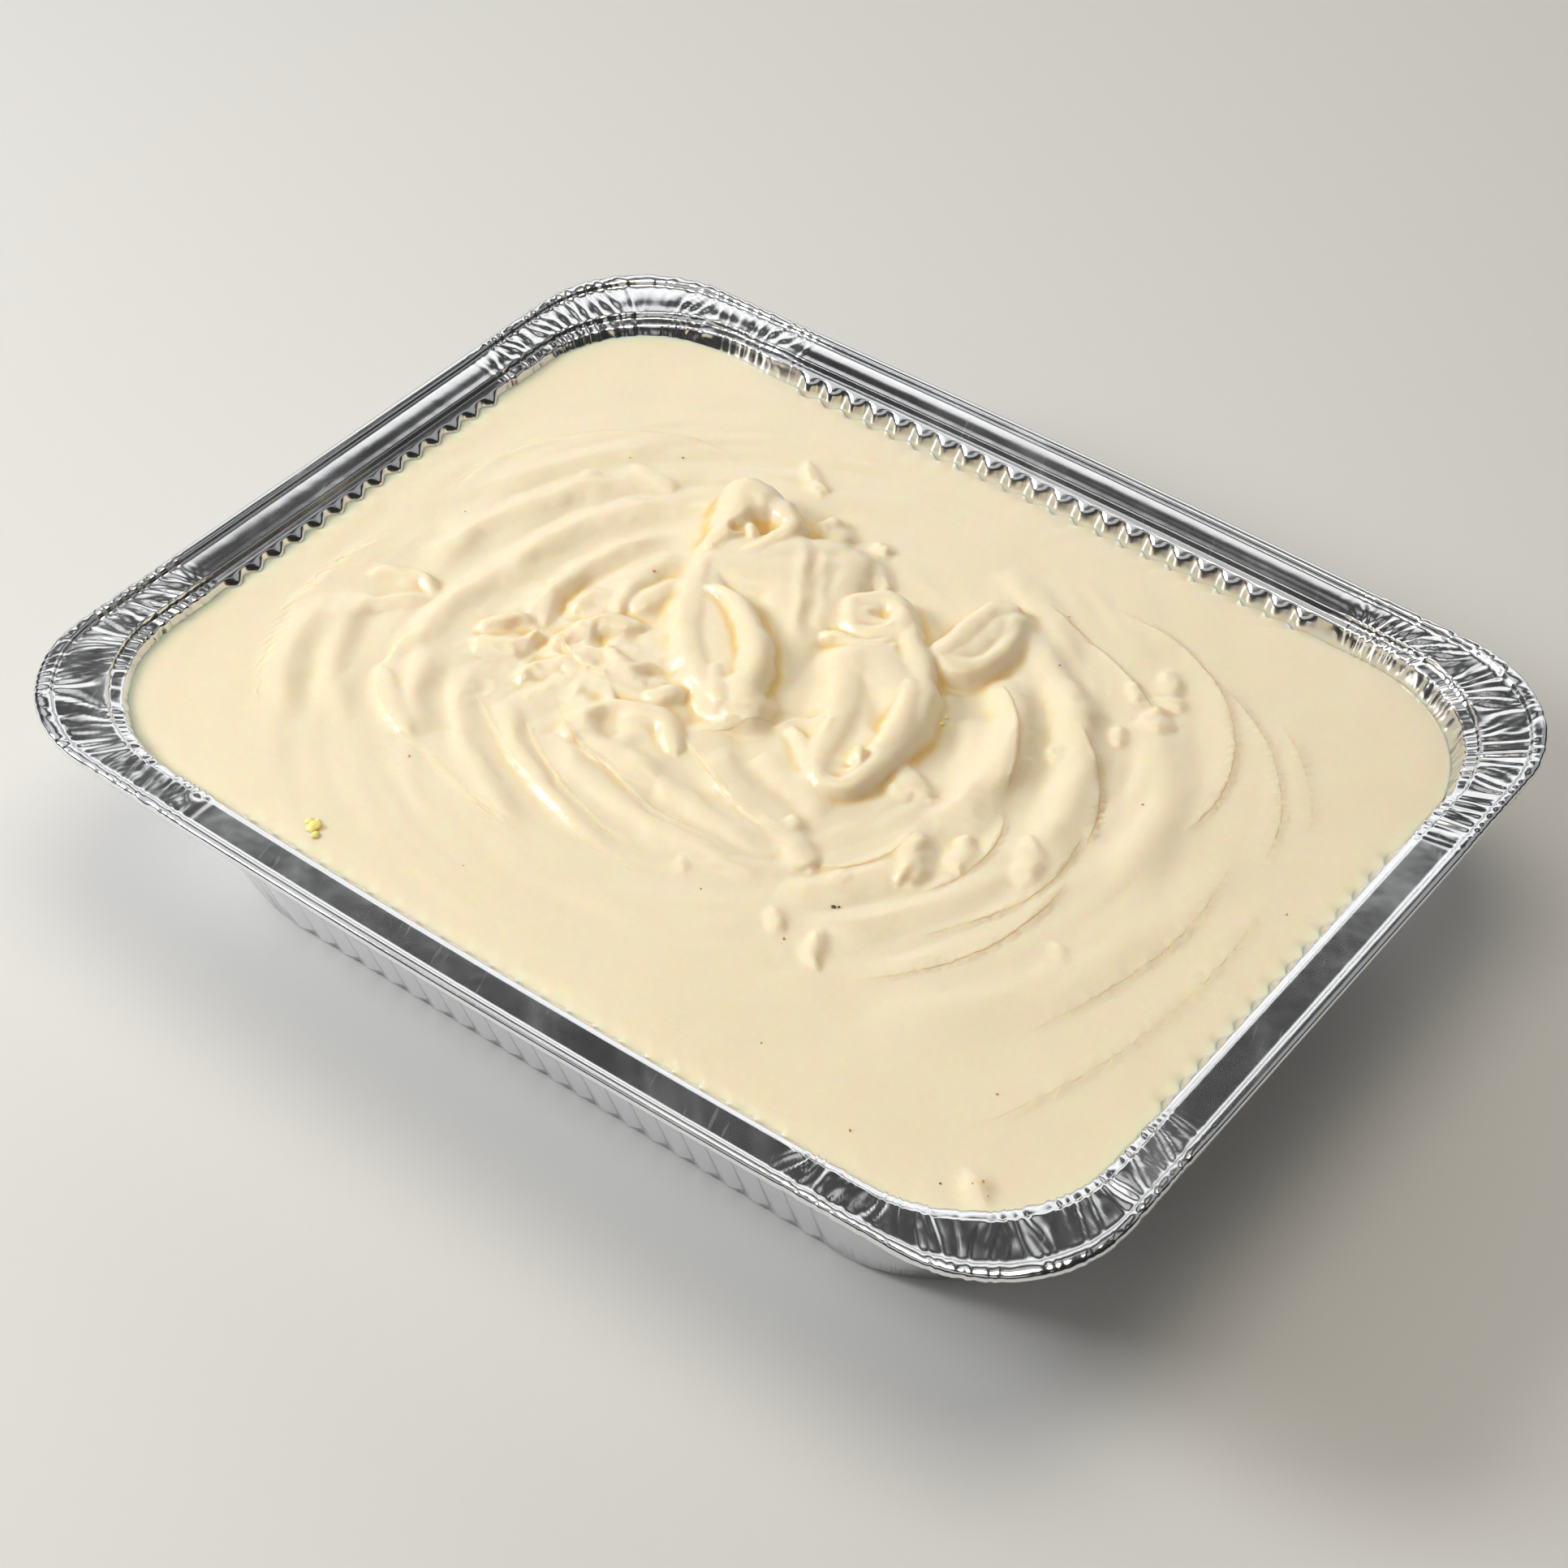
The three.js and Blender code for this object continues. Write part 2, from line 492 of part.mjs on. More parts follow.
function mashedPotato() {
  const skin = new Skin();
  const slope = (z) =>
    mix(BASE_INSET, WALL_TOP_INSET, (z - WALL_FOOT) / (LEDGE - WALL_FOOT)) + FLUTE_DEPTH + MASH_GAP;
  const edgeInset = slope(MASH_LEVEL - MASH_EDGE_DROP);
  const [cx, cy] = MASH_CENTRE;
  const top = [];
  let reached = 0;
  let stations;
  RING_ZONES.forEach((zone) => {
    stations = stationsRound((side) => (side.bow ? zone.long : zone.short), zone.corner);
    for (let ring = 1; ring <= zone.rings; ring += 1) {
      const share = mix(reached, zone.reach, ring / zone.rings);
      const place = ({ station }) => {
        const [ex, ey] = planPoint(station, edgeInset);
        const [x, y] = [mix(cx, ex, share), mix(cy, ey, share)];
        const toWall = Math.hypot(ex - x, ey - y);
        const drop = MASH_EDGE_DROP * Math.exp(-toWall / MASH_EDGE_ROUND);
        return [x, y, MASH_LEVEL + relief(x, y) - drop];
      };
      top.push(skin.loop(stations, place));
    }
    reached = zone.reach;
  });
  skin.fan(top[0], [cx, cy, MASH_LEVEL + relief(cx, cy)], true);
  const side = (z, inset) => skin.loop(stations, ({ station }) => [...planPoint(station, inset), z]);
  const foot = side(WALL_FOOT, slope(WALL_FOOT));
  const base = side(FOIL + MASH_GAP, BASE_INSET + BASE_ROUND + 1);
  const loops = [...top, foot, base];
  loops.slice(1).forEach((loop, i) => skin.bridge(loops[i], loop));
  skin.fan(base, [0, 0, FOIL + MASH_GAP], false);
  return skin.mesh("mashed_potato", { color: 0xf2e3bd, metalness: 0, roughness: 0.45 });
}

// ---------------------------------------------------------------- the whole
const mashedPotatoSide = new THREE.Group();
mashedPotatoSide.add(foilTray(), mashedPotato());
export default mashedPotatoSide;
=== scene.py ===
# %% [markdown]
# # A foil tray of mashed potato
# A deep catering tray of thin aluminium foil, filled to just under its rim with
# smooth mashed potato. The potato was stirred round and round and left in thick
# folds on a low mound. This lesson dresses the packed CAD model: it remakes the
# foil with its flutes and crumpled corners, remakes the mash at a much finer
# grain, and lights both on a pale floor.
#
# The CAD model is loaded first, as a fixed frame. Everything is in metres, with
# the origin on the floor under the middle of the tray and +X along its long side.

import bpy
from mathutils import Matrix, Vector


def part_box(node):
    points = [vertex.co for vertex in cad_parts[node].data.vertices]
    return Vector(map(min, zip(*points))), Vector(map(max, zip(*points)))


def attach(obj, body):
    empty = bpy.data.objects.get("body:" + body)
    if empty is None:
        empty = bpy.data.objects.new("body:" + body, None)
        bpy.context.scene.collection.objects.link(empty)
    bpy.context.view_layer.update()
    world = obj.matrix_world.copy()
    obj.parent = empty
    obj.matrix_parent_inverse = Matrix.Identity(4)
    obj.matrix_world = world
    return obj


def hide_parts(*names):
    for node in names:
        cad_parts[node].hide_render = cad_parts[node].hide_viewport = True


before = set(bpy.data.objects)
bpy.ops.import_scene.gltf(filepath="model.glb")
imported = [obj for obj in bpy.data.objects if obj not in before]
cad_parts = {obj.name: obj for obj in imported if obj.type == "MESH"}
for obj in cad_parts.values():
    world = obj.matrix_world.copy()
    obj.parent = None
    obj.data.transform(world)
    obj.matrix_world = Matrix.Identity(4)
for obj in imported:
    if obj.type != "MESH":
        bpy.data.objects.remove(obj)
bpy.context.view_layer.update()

import math
from types import SimpleNamespace

import bpy
import numpy as np
from mathutils import Matrix, Vector

MM = 0.001

# %% [markdown]
# ## The driving sizes
# A maker of such trays would quote the outside of the rolled rim and the depth.
# The packed frame gives both, and the scene reads the outside of the rim from it,
# so the tray follows the CAD if that changes; the depth is set here. The rest are
# the sizes of the rim's little steps, in millimetres: insets count inwards from
# the outside of the rim, heights count up from the floor. The long sides bow out
# a little under the load, and each straight wall is fluted from its middle out to
# a certain distance.

# %% Sizes, in millimetres
TRAY_HIGH = np.array(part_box("foil_tray")[1]) / MM
LONG_SIDE_BOW = 1.8
HALF_LENGTH = TRAY_HIGH[0]
HALF_WIDTH = TRAY_HIGH[1] - LONG_SIDE_BOW
BEAD_RADIUS = 1.6
BEAD_HEIGHT = 63.4
FOIL = 0.5
RIM_CORNER, WALL_CORNER = 38.4, 41.0
BAND_INSET, STEP_INSET, WALL_TOP_INSET, BASE_INSET = 12.0, 12.6, 14.4, 34.4
BAND_FOOT, LEDGE, FLUTE_START, WALL_FOOT, BASE_ROUND = 62.9, 61.2, 58.8, 4.0, 3.4
HALF_FLUTED = {"short": 56.0, "long": 86.0}
FLUTES = {"short": 7, "long": 11}
FLUTE_DEPTH = 1.5
MASH_LEVEL = 58.0

print(f"tray {2 * HALF_LENGTH:.0f} x {2 * HALF_WIDTH:.0f} mm over the rim, bowed {LONG_SIDE_BOW} mm")

# %% [markdown]
# ## Sums written as sums
# Both shaders and Geometry Nodes work out their numbers with Math nodes. A long
# formula is easier to read as a line of Python than as forty boxes, so one small
# class wraps a node's socket and turns each operator into the node that does it.
# Numbers may stand on either side of an operator, as in `1 - mask`.

# %% A socket that can stand in a sum
def does(operation):
    """A method that adds one Math node with this operation."""
    return lambda self, *others: self.math(operation, *others)


class Value:
    def __init__(self, tree, socket):
        self.tree, self.socket = tree, socket

    def math(self, operation, *others):
        node = self.tree.nodes.new("ShaderNodeMath")
        node.operation = operation
        for slot, item in zip(node.inputs, (self, *others)):
            put(self.tree, slot, item)
        return Value(self.tree, node.outputs[0])

    __add__ = __radd__ = does("ADD")
    __mul__ = __rmul__ = does("MULTIPLY")
    __sub__, __truediv__, __pow__ = does("SUBTRACT"), does("DIVIDE"), does("POWER")
    __abs__, sin, cos, floor = does("ABSOLUTE"), does("SINE"), does("COSINE"), does("FLOOR")
    least, most, above = does("MINIMUM"), does("MAXIMUM"), does("GREATER_THAN")

    def __rsub__(self, other):
        return self * -1 + other

    def __rtruediv__(self, other):
        return self**-1 * other

    def clamp(self, low=0, high=1):
        return self.most(low).least(high)

    def smooth(self, low, high):
        """0 below low, 1 above high and a soft step between them."""
        t = ((self - low) / (high - low)).clamp()
        return t * t * (3 - 2 * t)


def put(tree, slot, item):
    """Links a Value or a socket into a slot, or sets a plain value on it."""
    if isinstance(item, Value):
        tree.links.new(item.socket, slot)
    elif isinstance(item, bpy.types.NodeSocket):
        tree.links.new(item, slot)
    else:
        slot.default_value = item


print("besides the operators, a Value knows", [name for name in vars(Value) if not name.startswith("_")])

# %% [markdown]
# Every other kind of node comes from one method: the node's type, its settings,
# and then what goes into its sockets. The class round it also keeps the few
# nodes that come back again and again, such as noise.

# %% Any other node, by one method
class Board:
    """A node tree being wired."""

    def __init__(self, tree):
        self.tree = tree

    def add(self, kind, settings=None, inputs=None):
        """Adds a node and returns its outputs, by name or number."""
        node = self.tree.nodes.new(kind)
        for name, value in (settings or {}).items():
            setattr(node, name, value)
        for key, item in (inputs or {}).items():
            put(self.tree, node.inputs[key], item)
        return node.outputs

    def value(self, kind, output=0, settings=None, inputs=None):
        return Value(self.tree, self.add(kind, settings, inputs)[output])

    def split(self, vector):
        parts = self.add("ShaderNodeSeparateXYZ", inputs={0: vector})
        return [Value(self.tree, part) for part in parts]

    def join(self, x, y, z):
        return self.value("ShaderNodeCombineXYZ", inputs={0: x, 1: y, 2: z})

    def noise(self, vector, scale, detail=2.0, rough=0.5, output=0):
        return self.value(
            "ShaderNodeTexNoise", output,
            inputs={"Vector": vector, "Scale": scale, "Detail": detail, "Roughness": rough},
        )

    def cell_edge(self, vector, unevenness=1.0):
        """How far a place is from the nearest border between uneven cells of size 1, in a plane."""
        return self.value(
            "ShaderNodeTexVoronoi", "Distance",
            {"feature": "DISTANCE_TO_EDGE", "voronoi_dimensions": "2D"},
            {"Vector": vector, "Scale": 1.0, "Randomness": unevenness},
        )

    def mix_colours(self, share, first, second):
        """The second colour's share in a mix of two colours."""
        return self.value("ShaderNodeMix", 2, {"data_type": "RGBA"}, {0: share, 6: first, 7: second})

    def bump(self, height):
        """A normal from a height in mm."""
        inputs = {"Strength": 1.0, "Distance": MM, "Height": height}
        return self.value("ShaderNodeBump", "Normal", inputs=inputs)

    def stored(self, name):
        """A number that the mesh stores at its points."""
        return self.value("ShaderNodeAttribute", "Fac", {"attribute_name": name})


def finish(name, draw):
    """A new material; draw wires its shader's sockets on a board and returns them by name."""
    material = bpy.data.materials.new(name)
    material.use_nodes = True
    board = Board(material.node_tree)
    board.tree.nodes.clear()
    place = board.value("ShaderNodeTexCoord", "Object")
    shader = board.add("ShaderNodeBsdfPrincipled", inputs=draw(board, place))
    board.add("ShaderNodeOutputMaterial", inputs={"Surface": shader[0]})
    return material


print("a Board has", [name for name in vars(Board) if not name.startswith("_")])

# %% [markdown]
# ## Foil: the finish
# Foil is bare metal: nearly all that one sees in it is the room. So its colour
# hardly varies, and the work is in its roughness and in a bump. The press draws
# the foil over the rim, which leaves fine lines that run across the band, and at
# the corners it leaves thin sharp creases among the larger folds. The tray's
# mesh stores how far each point is in from the rim's edge (`inset`), how far it
# is round the rim (`along`) and how much the foil is gathered there (`creased`).
# The lines are noise that is read finely along the rim and slowly across it, and
# the creases are the borders of uneven cells that are drawn out the same way.

# %% The foil's material
DRAWN = {  # bumps per mm along the rim and across it, and how detailed they are
    "broad": (0.55, 0.10, 2.0), "lines": (1.9, 0.16, 3.0), "hairs": (7.0, 0.5, 2.0),
}


def foil_sockets(board, place):
    x, y, z = board.split(place)
    inset, along, creased = (board.stored(name) for name in ("inset", "along", "creased"))
    drift = x * 45 + y * 38  # keeps the lines of one side from coming back on the next

    def drawn_lines(pace, slow, detail=2.0):
        """Noise in lines across the rim."""
        return board.noise(board.join(along * pace, inset * slow + z * 120, drift), 1.0, detail, 0.6)

    broad, lines, hairs = (drawn_lines(*sizes) for sizes in DRAWN.values())
    dents = board.noise(place, 90.0, 2.0, 0.5)
    smudge = board.noise(place, 28.0, 3.0, 0.6)
    scratch = board.noise(board.join(x * 900 + y * 300, y * 60, z * 60), 1.0, 2.0, 0.7).smooth(0.64, 0.72)
    fine_fold = board.cell_edge(board.join(along * 0.62, inset * 0.035 + drift, 0))
    crease = (1 - (fine_fold / 0.13).clamp()) * creased * drawn_lines(0.2, 0.1).smooth(0.35, 0.6)
    crumple = board.noise(place, 420.0, 2.0, 0.5) * creased
    height_mm = 0.030 * broad + 0.012 * lines + 0.003 * hairs + 0.07 * dents
    height_mm = height_mm + 0.09 * crease + 0.02 * crumple - 0.004 * scratch
    return {
        "Base Color": board.mix_colours(smudge, (0.82, 0.83, 0.85, 1), (0.92, 0.93, 0.94, 1)),
        "Metallic": 1.0,
        "Roughness": 0.11 + 0.12 * smudge + 0.06 * lines.smooth(0.5, 0.75) + 0.05 * scratch,
        "Normal": board.bump(height_mm),
    }


BRIGHT_FOIL = finish("bright_foil", foil_sockets)
print("made", BRIGHT_FOIL.name, "with", len(BRIGHT_FOIL.node_tree.nodes), "nodes")

# %% [markdown]
# ## The tray: a section carried round an outline
# The whole tray is one rule: a section, drawn from the middle of the base up the
# wall, over the rolled rim and back down outside, is carried round a rectangle
# with round corners. Flutes stiffen the straight walls, and at the corners,
# where flat foil has too much material, it is gathered into pleats.
#
# First the section. Each row starts with six numbers: how far in from the rim's
# edge, the height, how much of the way out from the base's middle, and how much
# of the flutes, of the folds in the wall and of the folds in the rim the row
# takes. Three more are worked out. Two say which way the foil faces there, so
# that a fold stands out from the bead as well as up from the band. The last is
# how far the band is bent up over its even rise, because a tray that has been
# carried keeps such a bend on some of its sides.

# %% The section, drawn as rows
BAND_CROWN = (  # how far in from the rim's edge, and how far over the band's foot
    (11.3, 0.05), (10.2, 0.06), (9.4, 0.14), (8.6, 0.30), (7.8, 0.43),
    (6.6, 0.50), (5.4, 0.50), (4.4, 0.46), (3.6, 0.40),
)
BAND_SLOPE = 0.05  # the band's own even rise towards the bead
BEAD_ROUNDNESS = 0.8  # 1 is a round bead, less is a boxy one
BEAD_FLATNESS = 0.85  # the bead's height is this much of its width
BEAD_TURNS = range(4, 335, 22)  # degrees round the bead, from its inner side over the top to its underside
FLUTE_TOPS = ((59.5, 0.9), (60.1, 0.6), (60.6, 0.25), (61.0, 0.0))  # height, share of the flute's depth
LEDGE_AND_STEP = (  # inset, height, wall folds and rim folds; the ledge falls inwards, the step is upright
    (WALL_TOP_INSET - 0.3, LEDGE - 0.05, 0.6, 0.6), (13.5, LEDGE + 0.13, 0.4, 0.8),
    (STEP_INSET + 0.2, LEDGE + 0.24, 0.3, 1), (STEP_INSET + 0.05, LEDGE + 0.3, 0.2, 1),
    (STEP_INSET - 0.03, LEDGE + 0.42, 0.2, 1), (BAND_INSET + 0.1, BAND_FOOT - 0.18, 0, 1),
    (BAND_INSET + 0.02, BAND_FOOT - 0.05, 0, 1), (BAND_INSET - 0.1, BAND_FOOT, 0, 1),
)


def wall_inset(z):
    """How far in the sloping wall is at a height."""
    return np.interp(z, [WALL_FOOT, LEDGE], [BASE_INSET, WALL_TOP_INSET])


def wall_fold(z):
    """The folds in the wall die away downwards."""
    return 0.25 + 0.75 * (z / FLUTE_START) ** 2


def upper_side():
    foot = BASE_INSET + BASE_ROUND
    rows = [(foot, FOIL, out, 0, 0, 0) for out in (0, 0.5, 1)]
    for turn in (45, 90):
        a = math.radians(turn)
        height = WALL_FOOT - (WALL_FOOT - FOIL) * math.cos(a)
        rows.append((foot - BASE_ROUND * math.sin(a), height, 1, turn / 90, 0.2, 0))
    rows += [(wall_inset(z), z, 1, 1, wall_fold(z), 0) for z in (30, 50, 54, 56.5, FLUTE_START)]
    rows += [(wall_inset(z), z, 1, flute, 0.9, 0.2) for z, flute in FLUTE_TOPS]
    rows += [(*row[:2], 1, 0, *row[2:]) for row in LEDGE_AND_STEP]
    return rows + [(inset, BAND_FOOT + rise, 1, 0, 0, 1) for inset, rise in BAND_CROWN]


def boxy(v):
    """A sine or cosine, changed so that it draws a boxy circle."""
    return math.copysign(abs(v) ** BEAD_ROUNDNESS, v)


def bead_and_lower_side():
    rows = []
    for turn in BEAD_TURNS:
        a = math.radians(turn)
        across, up = BEAD_RADIUS * boxy(math.cos(a)), BEAD_FLATNESS * BEAD_RADIUS * boxy(math.sin(a))
        rows.append((BEAD_RADIUS + across, BEAD_HEIGHT + up, 1, 0, 0, 1))
    rows += [(3.8, BEAD_HEIGHT - FOIL, 1, 0, 0, 1), (8, BEAD_HEIGHT - 0.3 - FOIL, 1, 0, 0, 1)]
    rows += [(BAND_INSET - FOIL, BAND_FOOT - FOIL, 1, 0, 0, 1)]
    rows += [(STEP_INSET - FOIL, LEDGE - FOIL, 1, 0, 0.2, 1)]
    rows += [(WALL_TOP_INSET - FOIL, LEDGE - FOIL, 1, 0, 0.8, 0.3)]
    for z, flute in ((60.1, 0.6), (FLUTE_START, 1), (52, 1), (38, 1), (20, 1), (WALL_FOOT, 1)):
        rows.append((wall_inset(z) - FOIL, z, 1, flute, wall_fold(z), 0))
    foot = BASE_INSET + BASE_ROUND
    rows += [(foot - FOIL - 1.4, 1.2, 1, 0.5, 0.2, 0), (foot - FOIL, 0, 1, 0, 0, 0)]
    return rows + [(foot, 0, 0, 0, 0, 0)]


def facings(path):
    """Which way the foil's upper face looks at each point: inwards and up, as a unit pair."""
    path = np.array(path, float)
    way = np.vstack([path[1:], path[-1:]]) - np.vstack([path[:1], path[:-1]])
    way /= np.maximum(np.linalg.norm(way, axis=1), 1e-6)[:, None]
    facing = np.c_[way[:, 1], -way[:, 0]]
    # a few points past the rim's edge the path runs back under the foil
    below = np.arange(len(path)) > np.argmin(path[:, 0]) + 4
    facing[below] *= -1
    return facing.tolist()


def section_rows():
    rows = upper_side() + bead_and_lower_side()
    crowned = {
        (inset, BAND_FOOT + rise): rise - BAND_SLOPE * (BAND_INSET - inset) for inset, rise in BAND_CROWN
    }
    facing = facings([row[:2] for row in rows])
    return [(*row, *face, crowned.get(row[:2], 0)) for row, face in zip(rows, facing)]


SECTION = section_rows()
ROW_NAMES = ("inset", "height", "out", "flute", "pleat", "crimp", "face_in", "face_up", "crown")
print("the section has", len(SECTION), "points")

# %% [markdown]
# Then the tree. This scene has two trees. Both take a geometry, some named
# numbers and a material, and both end in real, smooth geometry that has the
# material, so the start and the end of a tree are helpers.

# %% How a tree starts and ends
def new_tree(name, geometry, numbers):
    """A Geometry Nodes tree with named inputs: its board, and what it is given."""
    tree = bpy.data.node_groups.new(name, "GeometryNodeTree")
    kinds = {geometry: "Geometry", **dict.fromkeys(numbers, "Float"), "Material": "Material"}
    for label, kind in kinds.items():
        tree.interface.new_socket(label, in_out="INPUT", socket_type="NodeSocket" + kind)
    tree.interface.new_socket("Piece", in_out="OUTPUT", socket_type="NodeSocketGeometry")
    board = Board(tree)
    return board, board.add("NodeGroupInput")


def end_tree(board, geometry, material):
    real = board.add("GeometryNodeRealizeInstances", inputs={"Geometry": geometry})[0]
    smooth = board.add("GeometryNodeSetShadeSmooth", inputs={"Geometry": real})[0]
    done = board.add("GeometryNodeSetMaterial", inputs={"Geometry": smooth, "Material": material})[0]
    board.add("NodeGroupOutput", inputs={"Piece": done})
    return board.tree


print("helpers:", new_tree.__name__, "and", end_tree.__name__)

# %% [markdown]
# The tray's grid has one column for each step round the outline and one row for
# each point of the section. The outline is worked out for a quarter: half of a
# fluted short side, the corner, half of a fluted long side. The other quarters
# are its mirror images.

# %% The tray's sizes, its grid and its section
STEPS = {"short": 70, "corner": 216, "long": 110}
QUARTER = sum(STEPS.values())
COLUMNS, ROWS = 4 * QUARTER + 1, len(SECTION)
TREE_INPUTS = {
    "Half length": HALF_LENGTH, "Half width": HALF_WIDTH, "Side bow": LONG_SIDE_BOW,
    "Flute depth": FLUTE_DEPTH, "Folds": 33.0, "Fold height": 0.40, "Fold lean": 0.045,
    "Wall fold depth": 0.75, "Crumple": 0.11, "Dent depth": 0.10, "Seed": 7.0,
}


def tray_grid(board):
    """The flat grid, and which column and row each of its points is in."""
    sizes = {"Size X": COLUMNS - 1.0, "Size Y": ROWS - 1.0, "Vertices X": COLUMNS, "Vertices Y": ROWS}
    grid = board.add("GeometryNodeMeshGrid", inputs=sizes)["Mesh"]
    x, y, _ = board.split(board.value("GeometryNodeInputPosition"))
    return grid, (x + COLUMNS / 2).floor(), (y + ROWS / 2).floor()


def section_at(board, drawn_section, row):
    """The numbers that the drawn section stores for a row."""
    def read(name):
        stored = board.add("GeometryNodeInputNamedAttribute", {"data_type": "FLOAT"}, {"Name": name})
        return board.value(
            "GeometryNodeSampleIndex", 0, {"data_type": "FLOAT", "domain": "POINT"},
            {"Geometry": drawn_section, "Value": stored[0], "Index": row},
        )

    return SimpleNamespace(**{name: read(name) for name in ROW_NAMES})


print("the grid has", COLUMNS, "columns and", ROWS, "rows")

# %% [markdown]
# A column's place is its quarter, and how far it is along the quarter's three
# parts. Between the flutes of two sides the outline runs straight, round an arc
# and straight again. Further in, the arc takes up more of that run. Each long
# side bows out most in its middle.

# %% Where a column is on the outline
def column_place(column):
    """A column's quarter, its shares of the three parts, and the signs of the quarter's x and y."""
    quarter = (column / QUARTER).floor().least(3)
    along = column - quarter * QUARTER
    odd = quarter - (quarter / 2).floor() * 2
    along = along + odd * (QUARTER - 2 * along)
    on_short = (along / STEPS["short"]).clamp()
    on_corner = ((along - STEPS["short"]) / STEPS["corner"]).clamp()
    on_long = ((along - STEPS["short"] - STEPS["corner"]) / STEPS["long"]).clamp()
    left = quarter.above(0.5) * (1 - quarter.above(2.5))
    return quarter, (on_short, on_corner, on_long), (1 - 2 * left, 1 - 2 * quarter.above(1.5))


def corner_at(size, inset, on_corner):
    """The run between two sides' flutes at an inset, and how far along it a column is."""
    radius = RIM_CORNER + (WALL_CORNER - RIM_CORNER) * (inset / BAND_INSET).clamp()
    beside_short = size["Half width"] - inset - HALF_FLUTED["short"]
    beside_long = size["Half length"] - inset - HALF_FLUTED["long"]
    radius = radius.least(beside_long).least(beside_short)
    before, after = beside_short - radius, beside_long - radius
    arc = radius * (math.pi / 2)
    run = on_corner * (before + arc + after)
    angle = (run - before).clamp(0, arc) / radius
    return SimpleNamespace(radius=radius, before=before, after=after, arc=arc, run=run, angle=angle)


def side_bow(size, inset, corner, on_side, on_long):
    """How far a long side bows out at a place, in mm; the base stays straight."""
    fade = 1 - ((inset - WALL_TOP_INSET) / (BASE_INSET - WALL_TOP_INSET)).clamp()
    still_to_run = corner.after + corner.arc + corner.before - corner.run
    side_run = on_side + still_to_run.least(corner.after) * (1 - on_long.above(0))
    straight = size["Half length"] - RIM_CORNER
    bow = size["Side bow"] * fade * ((side_run / straight).clamp() * (math.pi / 2)).cos()
    return bow * (corner.angle * (2 / math.pi)) ** 4


print("a quarter has", STEPS, "steps")

# %% [markdown]
# The flutes are a cosine along the straight. The folds at a corner are the
# borders between uneven cells that are drawn out across the rim: such lines come
# unevenly spaced, lean a little and run into each other, as gathered foil does.
# Coarse folds and fine ones are added up, and a slow noise makes some of them
# stronger. The cells have a seed, so that they always come out the same.

# %% The flutes and the folds
FOLDS_START = 1 / 14  # the share of the corner over which the folds set in, at each of its ends
COARSE_FOLDS, FINE_FOLDS = (1.0, 0.27, 0), (2.3, 0.30, 31)  # pace, width of a line, and an offset
FINE_SHARE, WEAKEST = 0.4, 0.55


def flute_wave(phase):
    return 0.5 - 0.5 * (phase * (2 * math.pi)).cos()


def corner_folds(board, size, inset, height, quarter, on_corner):
    """How far a place is in the corner, how far round it its fold starts, how folded and how crumpled."""
    seed = size["Seed"]
    in_corner = (on_corner / FOLDS_START).clamp() * ((1 - on_corner) / FOLDS_START).clamp()
    lean = board.noise(board.join(on_corner * 6, quarter * 3.7 + seed, 0), 1.0, 1.0) - 0.5
    leaning = size["Fold lean"] * (inset.clamp(0, 13) - 6) + 0.02 * (LEDGE - height).clamp(0, 8)
    leaning = on_corner + leaning * lean * in_corner

    def lines(pace, width, offset):
        """Thin lines across the rim: 1 on a line's crest, 0 between lines."""
        across = inset * 0.03 + quarter * 7.3 + seed
        where = board.join(leaning * size["Folds"] * pace + offset, across, 0)
        return 1 - (board.cell_edge(where, 0.9) / width).clamp()

    def noise_round(pace, slow, apart, detail):
        """Noise that changes at a pace round the corner, slowly across the rim, and by quarter."""
        return board.noise(board.join(on_corner * pace, inset * slow, quarter * apart + seed), 1.0, detail)

    strong = WEAKEST + (1 - WEAKEST) * noise_round(13, 0.1, 5.1, 1.0).smooth(0.34, 0.6)
    gathered = lines(*COARSE_FOLDS) * strong + FINE_SHARE * lines(*FINE_FOLDS)
    crumple = (noise_round(24, 0.42, 4.9, 2.0) - 0.5) * (1 - (inset - 5).clamp(0, 8) / 8)
    return in_corner, leaning, gathered.least(1) * in_corner, crumple * in_corner


print("coarse and fine folds:", COARSE_FOLDS, FINE_FOLDS)

# %% [markdown]
# The tree puts it all together. It moves every point of the flat grid to its
# place on the tray, and stores the three numbers that the foil's finish reads.

# %% The tray's Geometry Nodes
CORNER_RUN = 62.0  # about how long a corner is, in mm, for the number that runs round the rim
DENT_PACE = 0.05  # dents per mm
WELD = 0.004  # points nearer than this many mm are one


